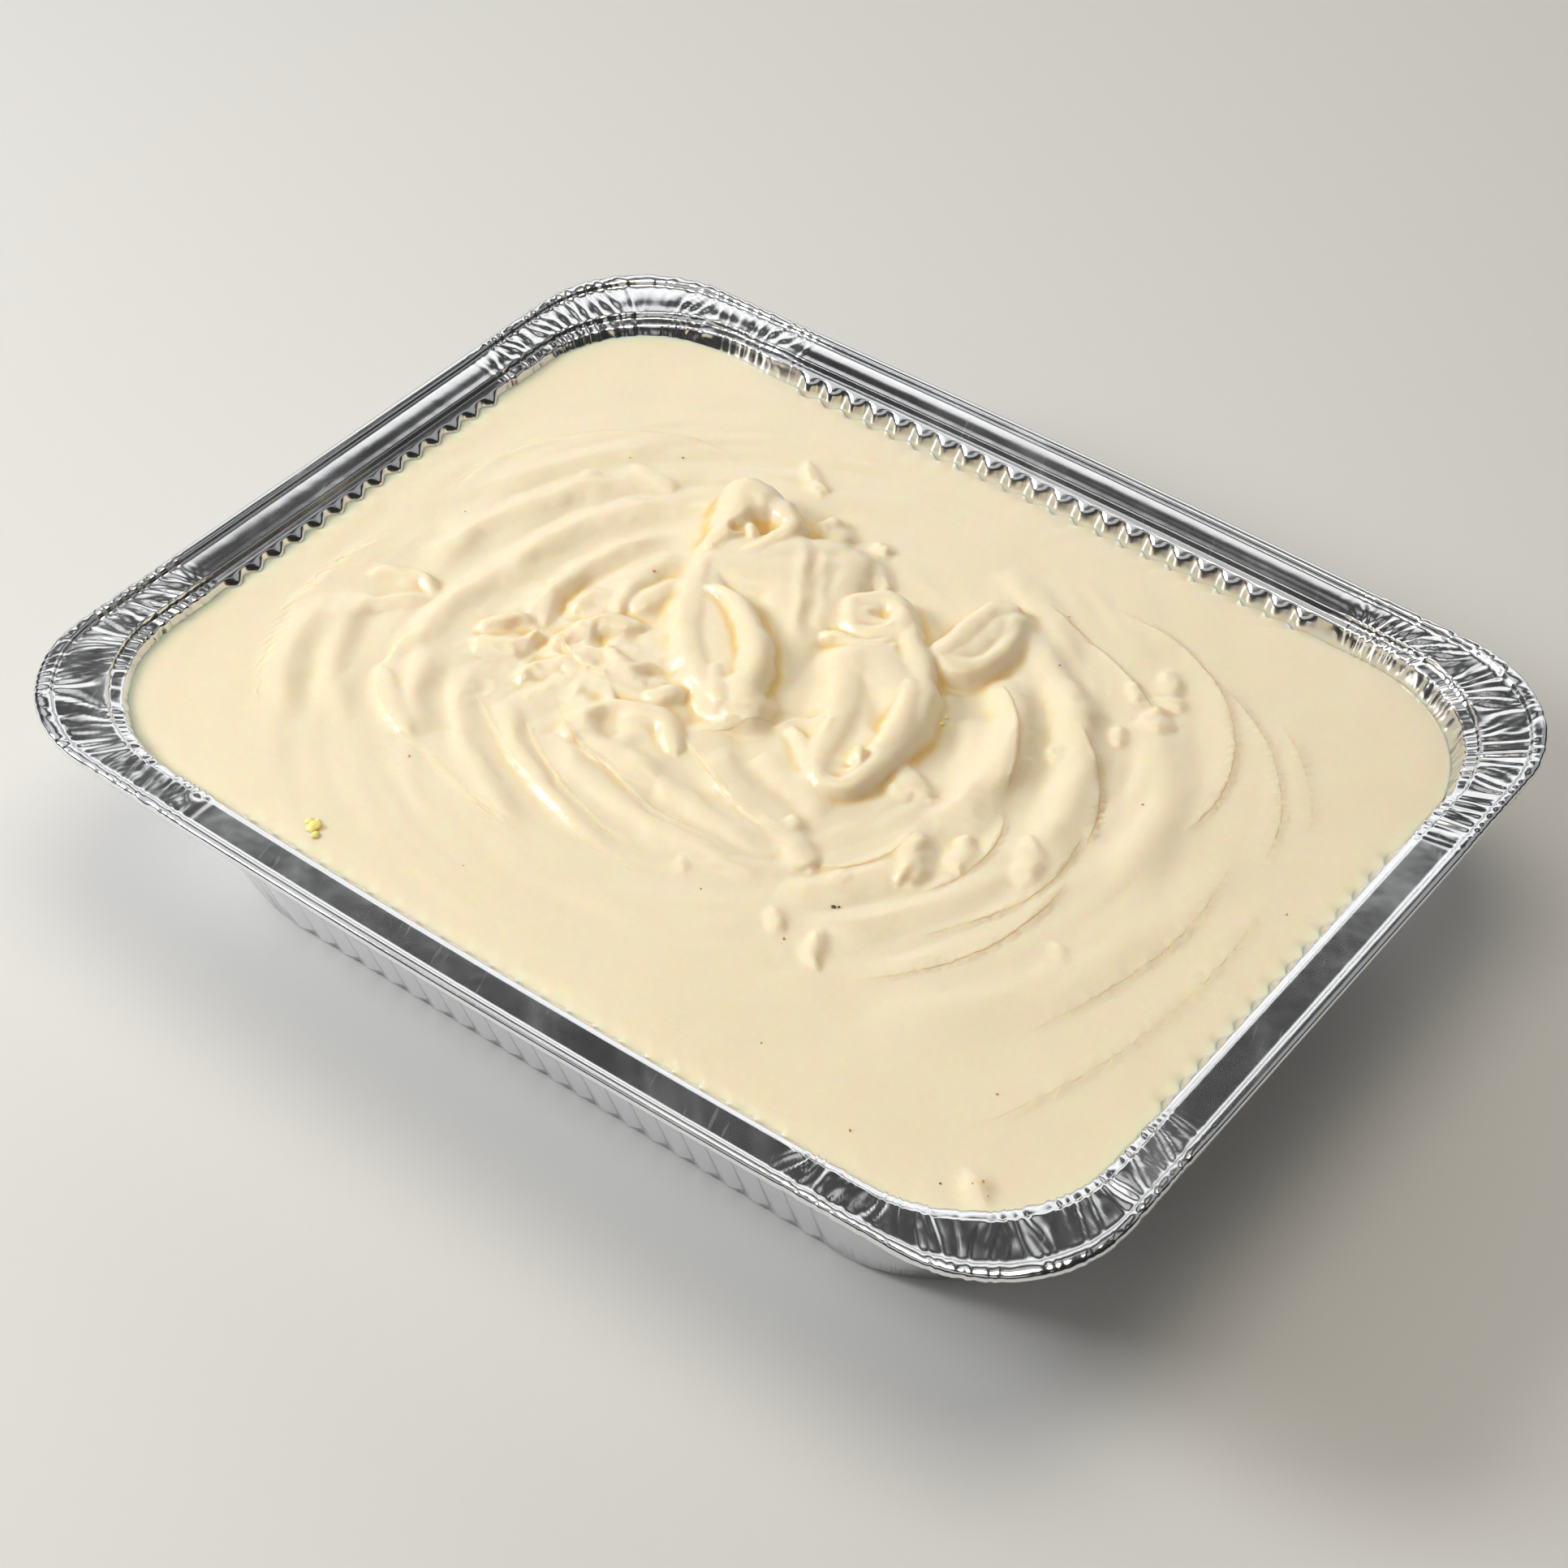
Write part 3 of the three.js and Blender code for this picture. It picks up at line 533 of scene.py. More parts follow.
def tray_tree():
    board, given = new_tree("foil_tray_sweep", "Section", TREE_INPUTS)
    size = {name: Value(board.tree, given[name]) for name in TREE_INPUTS}
    grid, column, row = tray_grid(board)
    section = section_at(board, given["Section"], row)
    inset, crimp = section.inset, section.crimp
    quarter, (on_short, on_corner, on_long), (sign_x, sign_y) = column_place(column)
    corner = corner_at(size, inset, on_corner)
    sine, cosine = corner.angle.sin(), corner.angle.cos()

    # the band is bent up at the back and on the left, and stays even in front and on the right
    bent = (sine * sign_y - cosine * sign_x).smooth(-0.3, 0.6)
    height = section.height - section.crown * (1 - bent)

    # flutes and folds push the foil in
    in_corner, leaning, gathered, crumple = corner_folds(board, size, inset, height, quarter, on_corner)
    valley = size["Fold height"] * (gathered - in_corner) * crimp
    fluting = flute_wave(on_short * FLUTES["short"]) + flute_wave(on_long * FLUTES["long"])
    push = size["Flute depth"] * section.flute * fluting + size["Wall fold depth"] * section.pleat * gathered
    reach = corner.radius - (push + valley * section.face_in)
    on_side = HALF_FLUTED["long"] * (1 - on_long)
    x = on_side + (corner.after - (corner.run - corner.before - corner.arc).most(0)) + reach * cosine
    y = HALF_FLUTED["short"] * on_short + corner.run.least(corner.before) + reach * sine
    x, y = x * sign_x, (y + side_bow(size, inset, corner, on_side, on_long)) * sign_y

    # the rim rises at the folds, and is dented a little all round
    dents = board.noise(board.join(x * DENT_PACE, y * DENT_PACE, size["Seed"]), 1.0, 3.0, 0.6) - 0.5
    lift = (valley + 0.6 * size["Fold height"] * in_corner * crimp) * section.face_up
    lift = lift + size["Crumple"] * 2 * crumple * crimp + size["Dent depth"] * 2 * dents * crimp
    place = board.join(x * section.out * MM, y * section.out * MM, (height + lift) * MM)

    along = on_short * HALF_FLUTED["short"] + leaning * CORNER_RUN + on_long * HALF_FLUTED["long"]
    shaped = board.add("GeometryNodeSetPosition", inputs={"Geometry": grid, "Position": place})[0]
    for name, number in (("inset", inset), ("along", along), ("creased", in_corner * crimp)):
        shaped = board.add(
            "GeometryNodeStoreNamedAttribute", {"data_type": "FLOAT", "domain": "POINT"},
            {"Geometry": shaped, "Name": name, "Value": number},
        )[0]
    closed = board.add("GeometryNodeMergeByDistance", inputs={"Geometry": shaped, "Distance": WELD * MM})[0]
    return end_tree(board, closed, given["Material"])


TRAY_TREE = tray_tree()
print(TRAY_TREE.name, "has", len(TRAY_TREE.nodes), "nodes")

# %% [markdown]
# A modifier runs the tree on the drawn section. Its inputs are set by the
# socket's identifier before anything is evaluated. The result is copied to a
# plain mesh, so that no live modifier is left on the piece.

# %% From a tree to a plain mesh
def plain_piece(name, source_mesh, tree, settings):
    """Runs the tree on the mesh and returns the result as an object of its own."""
    carrier = bpy.data.objects.new(name + "_carrier", source_mesh)
    bpy.context.scene.collection.objects.link(carrier)
    modifier = carrier.modifiers.new(name, "NODES")
    modifier.node_group = tree
    for socket in tree.interface.items_tree:
        if socket.in_out == "INPUT" and socket.name in settings:
            modifier[socket.identifier] = settings[socket.name]
    graph = bpy.context.evaluated_depsgraph_get()
    mesh = bpy.data.meshes.new_from_object(carrier.evaluated_get(graph), depsgraph=graph)
    bpy.data.objects.remove(carrier)
    mesh.name = name
    piece = bpy.data.objects.new(name, mesh)
    bpy.context.scene.collection.objects.link(piece)
    return piece


def store(mesh, name, numbers):
    """Stores a number at each of the mesh's points; points without one get 0."""
    values = np.zeros(len(mesh.vertices))
    values[: len(numbers)] = numbers
    mesh.attributes.new(name, "FLOAT", "POINT").data.foreach_set("value", values)


def triangles(piece):
    return sum(len(face.vertices) - 2 for face in piece.data.polygons)


def drawn_section():
    mesh = bpy.data.meshes.new("tray_section")
    mesh.from_pydata([(i, 0, 0) for i in range(len(SECTION))], [], [])
    for name, numbers in zip(ROW_NAMES, zip(*SECTION)):
        store(mesh, name, numbers)
    return mesh


SETTINGS = {**TREE_INPUTS, "Material": BRIGHT_FOIL}
tray = plain_piece("foil_tray_skin", drawn_section(), TRAY_TREE, SETTINGS)
print("tray:", len(tray.data.vertices), "points,", triangles(tray), "triangles")

# %% [markdown]
# ## The mash: strokes on a surface
# Mash keeps the shape that the spoon gave it. Each mark is a stroke along a
# curve: a **roll** lays a fold on the surface, a **dent** presses a groove, a
# **swell** raises it softly, a **ledge** is the torn step beside a spoon stroke
# (its high side is on the left of its direction), and a **lump** is a roll with
# tapered ends. Rolls and dents join the surface with a smooth maximum or minimum,
# so that folds run into each other as soft food does. Sculpting by hand would do
# as well, but strokes can be read and changed one at a time.

# %% Curves and the nearest point on them
def smooth_line(points, steps=8):
    """A smooth curve through the points (x, y, height, half width)."""
    p = np.array(points, float)
    p = np.vstack([p[:1], p, p[-1:]])
    t = (np.arange(steps) / steps)[:, None]
    spans = [
        0.5 * (2 * b + (c - a) * t + (2 * a - 5 * b + 4 * c - d) * t**2 + (3 * b - a - 3 * c + d) * t**3)
        for a, b, c, d in zip(p, p[1:], p[2:], p[3:])
    ]
    return np.vstack([*spans, p[-1:]])


def nearest(line, x, y):
    """Distance, height, half width, side (+1 left) and share run of the curve's nearest point."""
    best = np.full((5, len(x)), 1e9)
    for i, (a, b) in enumerate(zip(line, line[1:])):
        ex, ey = b[:2] - a[:2]
        t = np.clip(((x - a[0]) * ex + (y - a[1]) * ey) / max(ex * ex + ey * ey, 1e-9), 0, 1)
        dx, dy = x - a[0] - t * ex, y - a[1] - t * ey
        distance = np.hypot(dx, dy)
        found = np.array([
            distance, a[2] + (b[2] - a[2]) * t, a[3] + (b[3] - a[3]) * t,
            np.sign(ex * dy - ey * dx), (i + t) / (len(line) - 1),
        ])
        best = np.where(distance < best[0], found, best)
    return best


short_curve = smooth_line([(0, 0, 1, 1), (5, 0, 2, 1), (9, 4, 1, 1)])
print("a curve through three points has", len(short_curve), "points")

# %% [markdown]
# Real mash is never quite even, so a soft noise wanders every stroke a little.
# It is a small table of random heights, read smoothly between its entries.

# %% Noise with a seed
TABLE = 64  # heights along each side of the table, after which the noise comes round again
FAR = 1000.0  # keeps the places in the table positive


def soft_noise(x, y, size, seed):
    """Smooth noise from -1 to 1 whose bumps are about size mm across."""
    table = np.random.default_rng(seed).uniform(-1, 1, (TABLE, TABLE))
    u, v = x / size + FAR, y / size + FAR
    i, j = np.floor(u).astype(int), np.floor(v).astype(int)
    fu, fv = u - i, v - j
    fu, fv = fu * fu * (3 - 2 * fu), fv * fv * (3 - 2 * fv)

    def at(a, b):
        return table[(i + a) % TABLE, (j + b) % TABLE]

    return (at(0, 0) * (1 - fu) + at(1, 0) * fu) * (1 - fv) + (at(0, 1) * (1 - fu) + at(1, 1) * fu) * fv


print("noise at three places:", soft_noise(np.arange(3.0), np.arange(3.0), 5, 1).round(2))

# %% [markdown]
# A stroke's section is round at its crest and then falls straight, so a fold has
# firm sides and no thin edge. The ends of lumps, swells and ledges are tapered.

# %% The strokes themselves
def smooth_max(a, b, k):
    """The larger of a and b, rounded where they are less than k apart."""
    h = np.maximum(k - np.abs(a - b), 0) / k
    return np.maximum(a, b) + h * h * k * 0.25


def roof(across, steep):
    """0 on the crest; a circle's fall to the steep share, then straight on."""
    level = math.sqrt(1 - steep * steep)
    round_part = 1 - np.sqrt(np.clip(1 - across**2, 1e-9, 1))
    return np.where(across < steep, round_part, 1 - level + (across - steep) * steep / level)


def smooth_step(t):
    """0 below 0, 1 above 1 and a soft step between them."""
    t = np.clip(t, 0, 1)
    return t * t * (3 - 2 * t)


def lay_stroke(h, x, y, kind, line, blend=1.5, drop=1.0, steep=0.9):
    """The surface h after one stroke, at the points x, y."""
    distance, height, half, side, share = nearest(line, x, y)
    to_end = np.minimum(share, 1 - share)
    if kind == "lump":
        taper = 0.25 + 0.75 * np.sqrt(1 - (1 - np.clip(3.3 * to_end, 0, 1)) ** 2)
        height = height - 0.7 * (1 - taper) * np.minimum(height, 2.2)
        half = half * taper
    if kind in ("roll", "lump"):
        return smooth_max(h, height - drop * half * roof(distance / half, steep), blend)
    if kind == "dent":
        return -smooth_max(-h, -height - drop * half * roof(distance / half, steep), blend)
    if kind == "swell":
        bell = np.clip(1 - (distance / (2 * half)) ** 2, 0, 1) ** 3
        return h + height * bell * smooth_step(4 * to_end + 0.15)
    across = distance * side
    fall = np.clip(1 - np.maximum(across, 0) / (2.2 * half), 0, 1) ** 2
    return h + height * smooth_step(5 * to_end) * smooth_step((across + 0.6) / 1.2) * fall


flat_place = np.zeros(1)
straight = np.array([(0, -9, 3, 2), (0, 9, 3, 2)], float)
high_place = lay_stroke(flat_place, flat_place, flat_place, "roll", straight)
print("a roll 3 mm high leaves its crest", high_place.round(2), "mm up")

# %% [markdown]
# The swirls are arcs round the point that the spoon went round. An arc is: from
# and to in degrees; its radius at the start, half way and at the end; its rise;
# its half width. All in millimetres.

# %% The swirls
STIR_CENTRE = (-14, 0)
LEDGES = [
    (-177, -138, 115, 125, 126, 0.9, 9), (-41, -12, 65, 69, 64, 0.7, 5), (-23, 4, 83, 83, 76, 0.8, 4),
    (-35, 8, 156, 149, 145, 0.6, 8), (12, 59, 118, 124, 104, 1.0, 8), (35, 63, 105, 95, 88, 0.9, 6),
    (7, 41, 74, 70, 65, 0.9, 7), (4, 29, 99, 94, 85, 1.0, 8), (128, 175, 99, 119, 115, 0.6, 9),
]
RIDGES = [
    (146, 196, 67, 66, 65, 2.21, 3.2), (146, 186, 55, 54, 48, 2.62, 3.8), (140, 186, 80, 81, 80, 1.89, 4),
    (135, 176, 92, 93, 92, 1.47, 4), (150, 188, 96, 98, 100, 1.89, 3.6),
    (140, 170, 106, 108, 110, 1.05, 4), (-178, -150, 80, 87, 90, 1.78, 4),
    (-152, -130, 83, 87, 84, 1.78, 4), (-162, -135, 110, 109, 104, 1.47, 4),
    (-160, -136, 116, 120, 119, 1.47, 4), (44, -10, 66, 70, 67, 2.84, 5), (42, -6, 83, 88, 92, 2.21, 5),
    (34, 0, 104, 110, 112, 1.58, 5.5), (62, 24, 72, 80, 84, 2.1, 4.5), (-105, -46, 38, 45, 60, 2.21, 3.6),
    (-124, -50, 54, 55, 67, 2.31, 3.6), (-145, -85, 42, 43, 44, 2.31, 4),
    (2, -40, 124, 123, 118, 0.95, 6), (-140, -84, 63, 64, 68, 1.58, 2.6),
    (-150, -100, 74, 75, 76, 1.47, 3), (-20, -48, 72, 74, 72, 1.26, 4), (-5, -45, 88, 89, 86, 1.05, 4),
    (75, 48, 84, 86, 84, 1.05, 4),
]


def arc_points(start_deg, end_deg, r_start, r_middle, r_end, rise, half):
    t = np.linspace(0, 1, 7)
    radius = r_start * (1 - t) * (1 - 2 * t) + 4 * r_middle * t * (1 - t) + r_end * t * (2 * t - 1)
    angle = np.radians(start_deg + (end_deg - start_deg) * t)
    x, y = STIR_CENTRE
    return [(x + r * math.cos(a), y + r * math.sin(a), rise, half) for r, a in zip(radius, angle)]


print(len(LEDGES), "ledges and", len(RIDGES), "ridges round", STIR_CENTRE)

# %% [markdown]
# The mound itself is three soft swells. Beside it the mash is torn and crumpled
# into little lumps and hollows. Every stroke from here on has the same form: its
# kind, how softly it blends, how high its section is for its width, how steep
# its sides may get, and then its points as (x, y, height over the mash's level,
# half width), in millimetres. Swells and ledges always have the same three
# middle numbers, so they get a short name.

# %% The mound, and the crumpled mash beside it
SWELL, LEDGE_STROKE = ("swell", 1.5, 1, 0.9), ("ledge", 1.5, 1, 0.9)
MOUND = [
    (*SWELL, (-45, 45, 2.5, 24), (-25, 20, 2.5, 24), (-5, -5, 1.5, 22)),
    (*SWELL, (-60, -10, 1.2, 36), (0, -20, 1.2, 40), (40, 10, 1.2, 36)),
    (*SWELL, (-66, -10, 1.2, 9), (-50, -14, 1.8, 10), (-36, -24, 1.6, 10)),
]
CRUMPLED = [  # the torn, crumpled mash beside the mound
    ("lump", 1.5, 0.5, 0.9, (-82.5, -29.5, 1.6, 3.4), (-75.5, -27.5, 2, 4.4), (-69.5, -20.5, 1.6, 3.6)),
    ("lump", 1, 0.7, 0.85, (-85, -25.5, 2.2, 1.8), (-82, -20.5, 2.8, 2), (-76.5, -14.5, 2.6, 1.8)),
    ("lump", 1, 0.7, 0.85, (-71.5, -21, 2.4, 1.6), (-71.5, -17.5, 2.4, 1.4)),
    ("dent", 0.9, 0.8, 0.8, (-81.5, -24, 1, 1.2), (-77.5, -21.5, 1, 1.4)),
    ("roll", 3, 0.35, 0.9, (-53.5, -18.5, 2.6, 5), (-45, -17, 3, 7), (-35.5, -18, 3, 6),
     (-29.5, -20, 2.4, 5)),
    ("lump", 1.4, 0.9, 0.88, (-121.5, -27, 1.4, 1.3), (-118.5, -23.5, 2.2, 1.6), (-113, -20.5, 2.6, 1.8),
     (-107.5, -20, 2.6, 1.8), (-103, -24, 1.6, 1.4)),
    ("dent", 1.2, 0.7, 0.8, (-112.5, -23.5, 0.2, 1), (-110.5, -23, 0.2, 1)),
    ("lump", 1.8, 0.7, 0.88, (-113.5, -42, 0.8, 1.6), (-113.5, -36.5, 1.4, 2), (-109.5, -30.5, 1.6, 2.2),
     (-104, -25, 1.2, 2)),
    ("lump", 2, 0.5, 0.9, (-93.5, -53, 1.4, 2.4), (-87, -59, 2, 3), (-79.5, -64, 2.2, 3),
     (-72, -67.5, 1.6, 2.6)),
    ("roll", 3, 0.35, 0.9, (-40, -38, 2, 4), (-35, -34.5, 2.4, 5), (-29.5, -28.5, 2.6, 5)),
    (*LEDGE_STROKE, (-69, -13.5, 0.7, 5), (-62.5, -17.5, 1.2, 5), (-56.5, -21, 1.2, 5), (-52, -22, 1, 5),
     (-46.5, -21.5, 0.6, 5), (-41, -24.5, 0.3, 5)),
    ("lump", 1.4, 0.7, 0.92, (-52, -13, 4.7, 1.93), (-47.5, -14.5, 5.1, 2.45), (-43, -16.5, 5.1, 2.45),
     (-39, -17.5, 4.9, 2.62), (-35, -18, 4.3, 2.1)),
    ("lump", 1.4, 0.7, 0.92, (-46.5, -18, 4.5, 1.93), (-43, -17, 4.9, 2.27), (-39.5, -13.5, 4.9, 2.45),
     (-36.5, -10.5, 4.3, 2.1)),
    ("lump", 1.4, 0.8, 0.92, (-33.5, -20.5, 4.1, 2.27), (-30, -19, 4.7, 2.98), (-28, -15.5, 4.9, 2.98),
     (-26, -13.5, 4.3, 2.45)),
    ("lump", 1.8, 0.7, 0.92, (-65, -16.5, 3.3, 2.8), (-63.5, -12, 3.9, 3.15), (-60.5, -8, 4.1, 3.15),
     (-56.5, -3, 4.1, 3.5), (-51, 1, 3.7, 3.85)),
    ("lump", 1.6, 0.8, 0.92, (-41, -38, 3.3, 2.1), (-39.5, -34, 3.9, 2.45), (-37, -29.5, 4.1, 2.8),
     (-33, -27, 4.3, 3.15), (-28, -25, 4.3, 3.5), (-23, -25, 4.3, 3.85), (-18.5, -27.5, 3.7, 4.2),
     (-14.5, -31.5, 2.9, 3.85)),
    ("lump", 1.4, 0.8, 0.92, (-43.5, -40.5, 2.9, 2.1), (-39, -42.5, 3.3, 2.27), (-35.5, -39.5, 3.1, 2.1)),
    ("lump", 1.4, 0.8, 0.92, (-46, -23.5, 3.9, 1.93), (-41.5, -26, 4.1, 2.27), (-38, -28.5, 3.5, 1.93)),
    ("dent", 1.6, 0.6, 0.8, (-57, -10, 1.8, 1.4), (-54.5, -10.5, 1.8, 1.2)),
    ("dent", 1.6, 0.6, 0.8, (-49, -4.5, 1.9, 1.6), (-47, -4.5, 1.9, 1.4)),
    ("dent", 1.8, 0.6, 0.8, (-42.5, 2.5, 1.8, 2), (-40, -1.5, 1.8, 1.8)),
    ("dent", 1.6, 0.6, 0.8, (-37, -13, 2.2, 1.3), (-33.5, -9.5, 1.4, 2.2)),
    ("dent", 1.8, 0.6, 0.8, (-20, -16, 0.6, 2.2), (-18.5, -18.5, 0.6, 2)),
    ("dent", 1.8, 0.5, 0.8, (-34.5, -33, 1.2, 2), (-31.5, -35.5, 0.8, 2)),
    ("dent", 1.8, 0.5, 0.8, (-46, -27.5, 1.6, 1.8), (-43, -28, 1.6, 1.6)),
    ("lump", 1.6, 0.8, 0.88, (-62.5, -34.5, 2, 1.8), (-63, -30.5, 2.6, 2.2), (-61, -26.5, 3, 2.4),
     (-58, -23.5, 3, 2.2), (-54.5, -24, 2.6, 1.8), (-53, -25.5, 2, 1.6), (-53.5, -29, 1.2, 1.2)),
    ("dent", 1.4, 0.5, 0.8, (-59, -34, 0.2, 1.6), (-58.5, -30.5, 0.4, 1.6)),
    ("lump", 2, 0.8, 0.85, (-73.5, -12, 1.8, 2.6), (-78.5, -3.5, 2.8, 3.2), (-79, 4.5, 2.6, 3),
     (-78, 12.5, 1.6, 2.4)),
    ("lump", 2, 0.8, 0.85, (-59, -0.5, 2.8, 2.2), (-61.5, 5.5, 4, 3), (-63, 13.5, 3.8, 3.2),
     (-62.5, 23.5, 2.6, 2.4)),
    ("lump", 2, 0.6, 0.85, (-56.5, 4, 3.2, 2.6), (-56, 11.5, 4, 3.2), (-54.5, 21.5, 3.6, 3.2)),
    ("lump", 2, 0.6, 0.85, (-69.5, -4.5, 2.6, 2.4), (-69, 1, 3.2, 3), (-66.5, 6.5, 2.4, 2.6)),
]
print(len(MOUND), "swells and", len(CRUMPLED), "crumpled places")

# %% [markdown]
# Where the spoon's edge dragged, the mash tore and left a low step with a ragged
# lip. In front of the folds it slid out in flat tongues, which are soft swells.

# %% Torn steps and flat tongues
TORN = [  # torn steps beside the long spoon strokes
    (*LEDGE_STROKE, (-95.5, -54, 0.32, 7), (-84.5, -63.5, 0.72, 7), (-72.5, -69, 0.8, 7),
     (-60.5, -71.5, 0.72, 7), (-47.5, -75, 0.72, 7), (-36, -76.5, 0.64, 7), (-25.5, -78.5, 0.32, 6)),
    (*LEDGE_STROKE, (-15.5, -21.5, 0.24, 4), (-11, -18.5, 0.48, 4), (-7, -14.5, 0.56, 4),
     (-3, -8.5, 0.48, 4), (2, -2, 0.24, 4)),
    (*LEDGE_STROKE, (-75.5, -41.5, 0.24, 6), (-62, -49.5, 0.53, 6), (-50.5, -56.5, 0.58, 6),
     (-37, -62.5, 0.58, 6), (-24, -66.5, 0.53, 6), (-12, -69.5, 0.48, 6), (-1, -70, 0.38, 6),
     (10, -69.5, 0.19, 6)),
    (*LEDGE_STROKE, (-54.5, -43, 0.32, 5), (-43.5, -51.5, 0.72, 5), (-31, -58, 0.8, 5), (-19.5, -62, 0.8, 5),
     (-8, -64.5, 0.72, 5), (1.5, -64.5, 0.4, 5)),
    (*LEDGE_STROKE, (-54, -30, 0.4, 6), (-45.5, -38.5, 0.96, 6), (-36, -44.5, 1.12, 6), (-25, -47, 1.04, 6),
     (-12.5, -50.5, 0.96, 6), (-2, -52, 0.88, 6), (9, -52, 0.8, 6), (18.5, -50.5, 0.56, 6),
     (26.5, -47, 0.32, 6)),
    (*LEDGE_STROKE, (-21, -23, 0.24, 6), (-13, -27.5, 0.72, 6), (-3, -32.5, 0.88, 7), (10.5, -38.5, 0.88, 7),
     (23.5, -41, 0.8, 7), (33.5, -42, 0.4, 7)),
    (*LEDGE_STROKE, (-98.5, -36.5, 0.32, 6), (-97, -45, 0.72, 6), (-94.5, -54, 0.8, 6)),
    (*LEDGE_STROKE, (70, -46, 0.4, 6), (77.5, -33.5, 0.8, 6), (84, -19, 0.88, 6), (85, -5.5, 0.8, 6),
     (82, 10.5, 0.56, 6)),
    (*LEDGE_STROKE, (65.5, -67, 0.4, 7), (74.5, -58, 0.72, 7), (84, -42.5, 0.88, 7), (88, -27, 0.88, 7),
     (89, -13, 0.72, 7), (87, -4.5, 0.32, 7)),
    (*LEDGE_STROKE, (107, -59.5, 0.4, 8), (115, -34, 0.64, 8), (119, -14.5, 0.72, 8), (119.5, 4.5, 0.64, 8),
     (116, 27, 0.32, 8)),
    (*LEDGE_STROKE, (124, 24.5, 0.32, 8), (119.5, 41, 0.72, 8), (114, 52.5, 0.8, 8), (102.5, 66.5, 0.8, 8),
     (89, 76, 0.72, 8), (77, 81.5, 0.4, 8)),
    (*LEDGE_STROKE, (125.5, 46.5, 0.24, 7), (120.5, 56.5, 0.48, 7), (110.5, 68.5, 0.56, 7),
     (98.5, 78, 0.32, 7)),
]
TONGUES = [  # flat tongues of mash in front of the folds
    (*SWELL, (-8, -25, 1.3, 4.5), (8, -34, 1.5, 5), (29.5, -39, 1, 5)),
    (*SWELL, (2, -18.5, 1.3, 3.5), (13, -22, 1.4, 4), (28.5, -22, 0.9, 4)),
    (*SWELL, (-7.5, -16.5, -0.4, 3), (6.5, -24, -0.7, 3), (25, -28.5, -0.5, 3)),
    ("lump", 2.4, 0.6, 0.9, (28.5, 0, 2.2, 2.6), (36, -1, 2.6, 3.4), (45.5, -4, 2, 3)),
    (*SWELL, (34.5, 27, 1.2, 4), (46, 17, 1.4, 4.5), (51.5, -0.5, 1, 4)),
    (*SWELL, (34.5, 45.5, 1, 4), (48, 28.5, 1.4, 4.5), (57, 6.5, 1.1, 4)),
]
print(len(TORN), "torn steps and", len(TONGUES), "tongues")

# %% [markdown]
# The folds on the mound came off the spoon last and keep their shape best. Each
# is a few overlapping rolls, with dents where it is hollow: a broad flat roll
# for the fold's body and a narrow round one for its rim.

# %% The dollop and the sheet under it
DOLLOP = [  # the dollop on top, with its two lips and the peg between them
    ("roll", 2.4, 1, 0.93, (-59.5, 57, 11.3, 7.4), (-55.5, 58, 11, 7.6)),
    ("roll", 2.6, 1, 0.88, (-57.5, 51, 10.4, 6), (-56, 45.5, 8.8, 4.4), (-56, 41, 7.4, 3),
     (-56, 36.5, 6.2, 2)),
    ("dent", 1.2, 1.2, 0.9, (-54, 44.5, 6, 1), (-51.5, 47, 5.8, 0.8), (-48.5, 50.5, 6, 1.3)),
    ("roll", 2.2, 1, 0.9, (-48.5, 58.5, 9.6, 4.2), (-43.5, 56, 8.8, 3.6), (-43, 52, 7.8, 2.8),
     (-44.5, 46.5, 6.9, 2.2), (-46, 40, 6, 1.4)),
    ("roll", 0.8, 1, 0.88, (-51, 48, 7.6, 0.9), (-49, 45.5, 6.6, 1.1)),
]
SHEET = [  # the smooth sheet that hangs down the middle
    ("roll", 3, 0.45, 0.92, (-52, 33, 5.6, 5), (-43, 35.5, 6.2, 8), (-36, 44.5, 6.6, 10), (-29, 53, 6, 9),
     (-23.5, 57, 5, 6)),
    ("roll", 2.4, 0.5, 0.92, (-53, 40.5, 6, 4.5), (-45.5, 42.5, 6.4, 6.5), (-39.5, 49.5, 6.4, 7)),
    ("roll", 3, 0.45, 0.9, (-30, 41.5, 6, 12), (-22.5, 32.5, 5.2, 10), (-17, 22.5, 4, 7),
     (-13, 10.5, 3, 5)),
    ("roll", 2.4, 0.5, 0.9, (-22, 51, 5.4, 7), (-18, 42, 5, 6), (-15.5, 32, 4.2, 5)),
    (*SWELL, (-36.5, 55.5, 0.6, 2.4), (-29.5, 43, 1, 2.4), (-22, 32, 1, 2.4), (-15.5, 20.5, 0.6, 2)),
    (*SWELL, (-34, 55, -0.5, 2), (-28.5, 45.5, -0.8, 2), (-21.5, 35, -0.9, 2), (-14.5, 23, -0.6, 1.8)),
    (*SWELL, (-28.5, 53.5, 0.5, 2.4), (-24, 43, 0.9, 2.4), (-19, 34.5, 0.6, 2.2)),
    (*SWELL, (-28.5, 57, -0.3, 2), (-24.5, 47.5, -0.6, 2.2), (-18.5, 37, -0.4, 2)),
]
print(len(DOLLOP), "strokes for the dollop,", len(SHEET), "for the sheet")

# %% [markdown]
# In front of the dollop are a curled fold that stands open along its middle, a
# small ring, a long lobe that turns back on itself, and a bean-shaped fold.

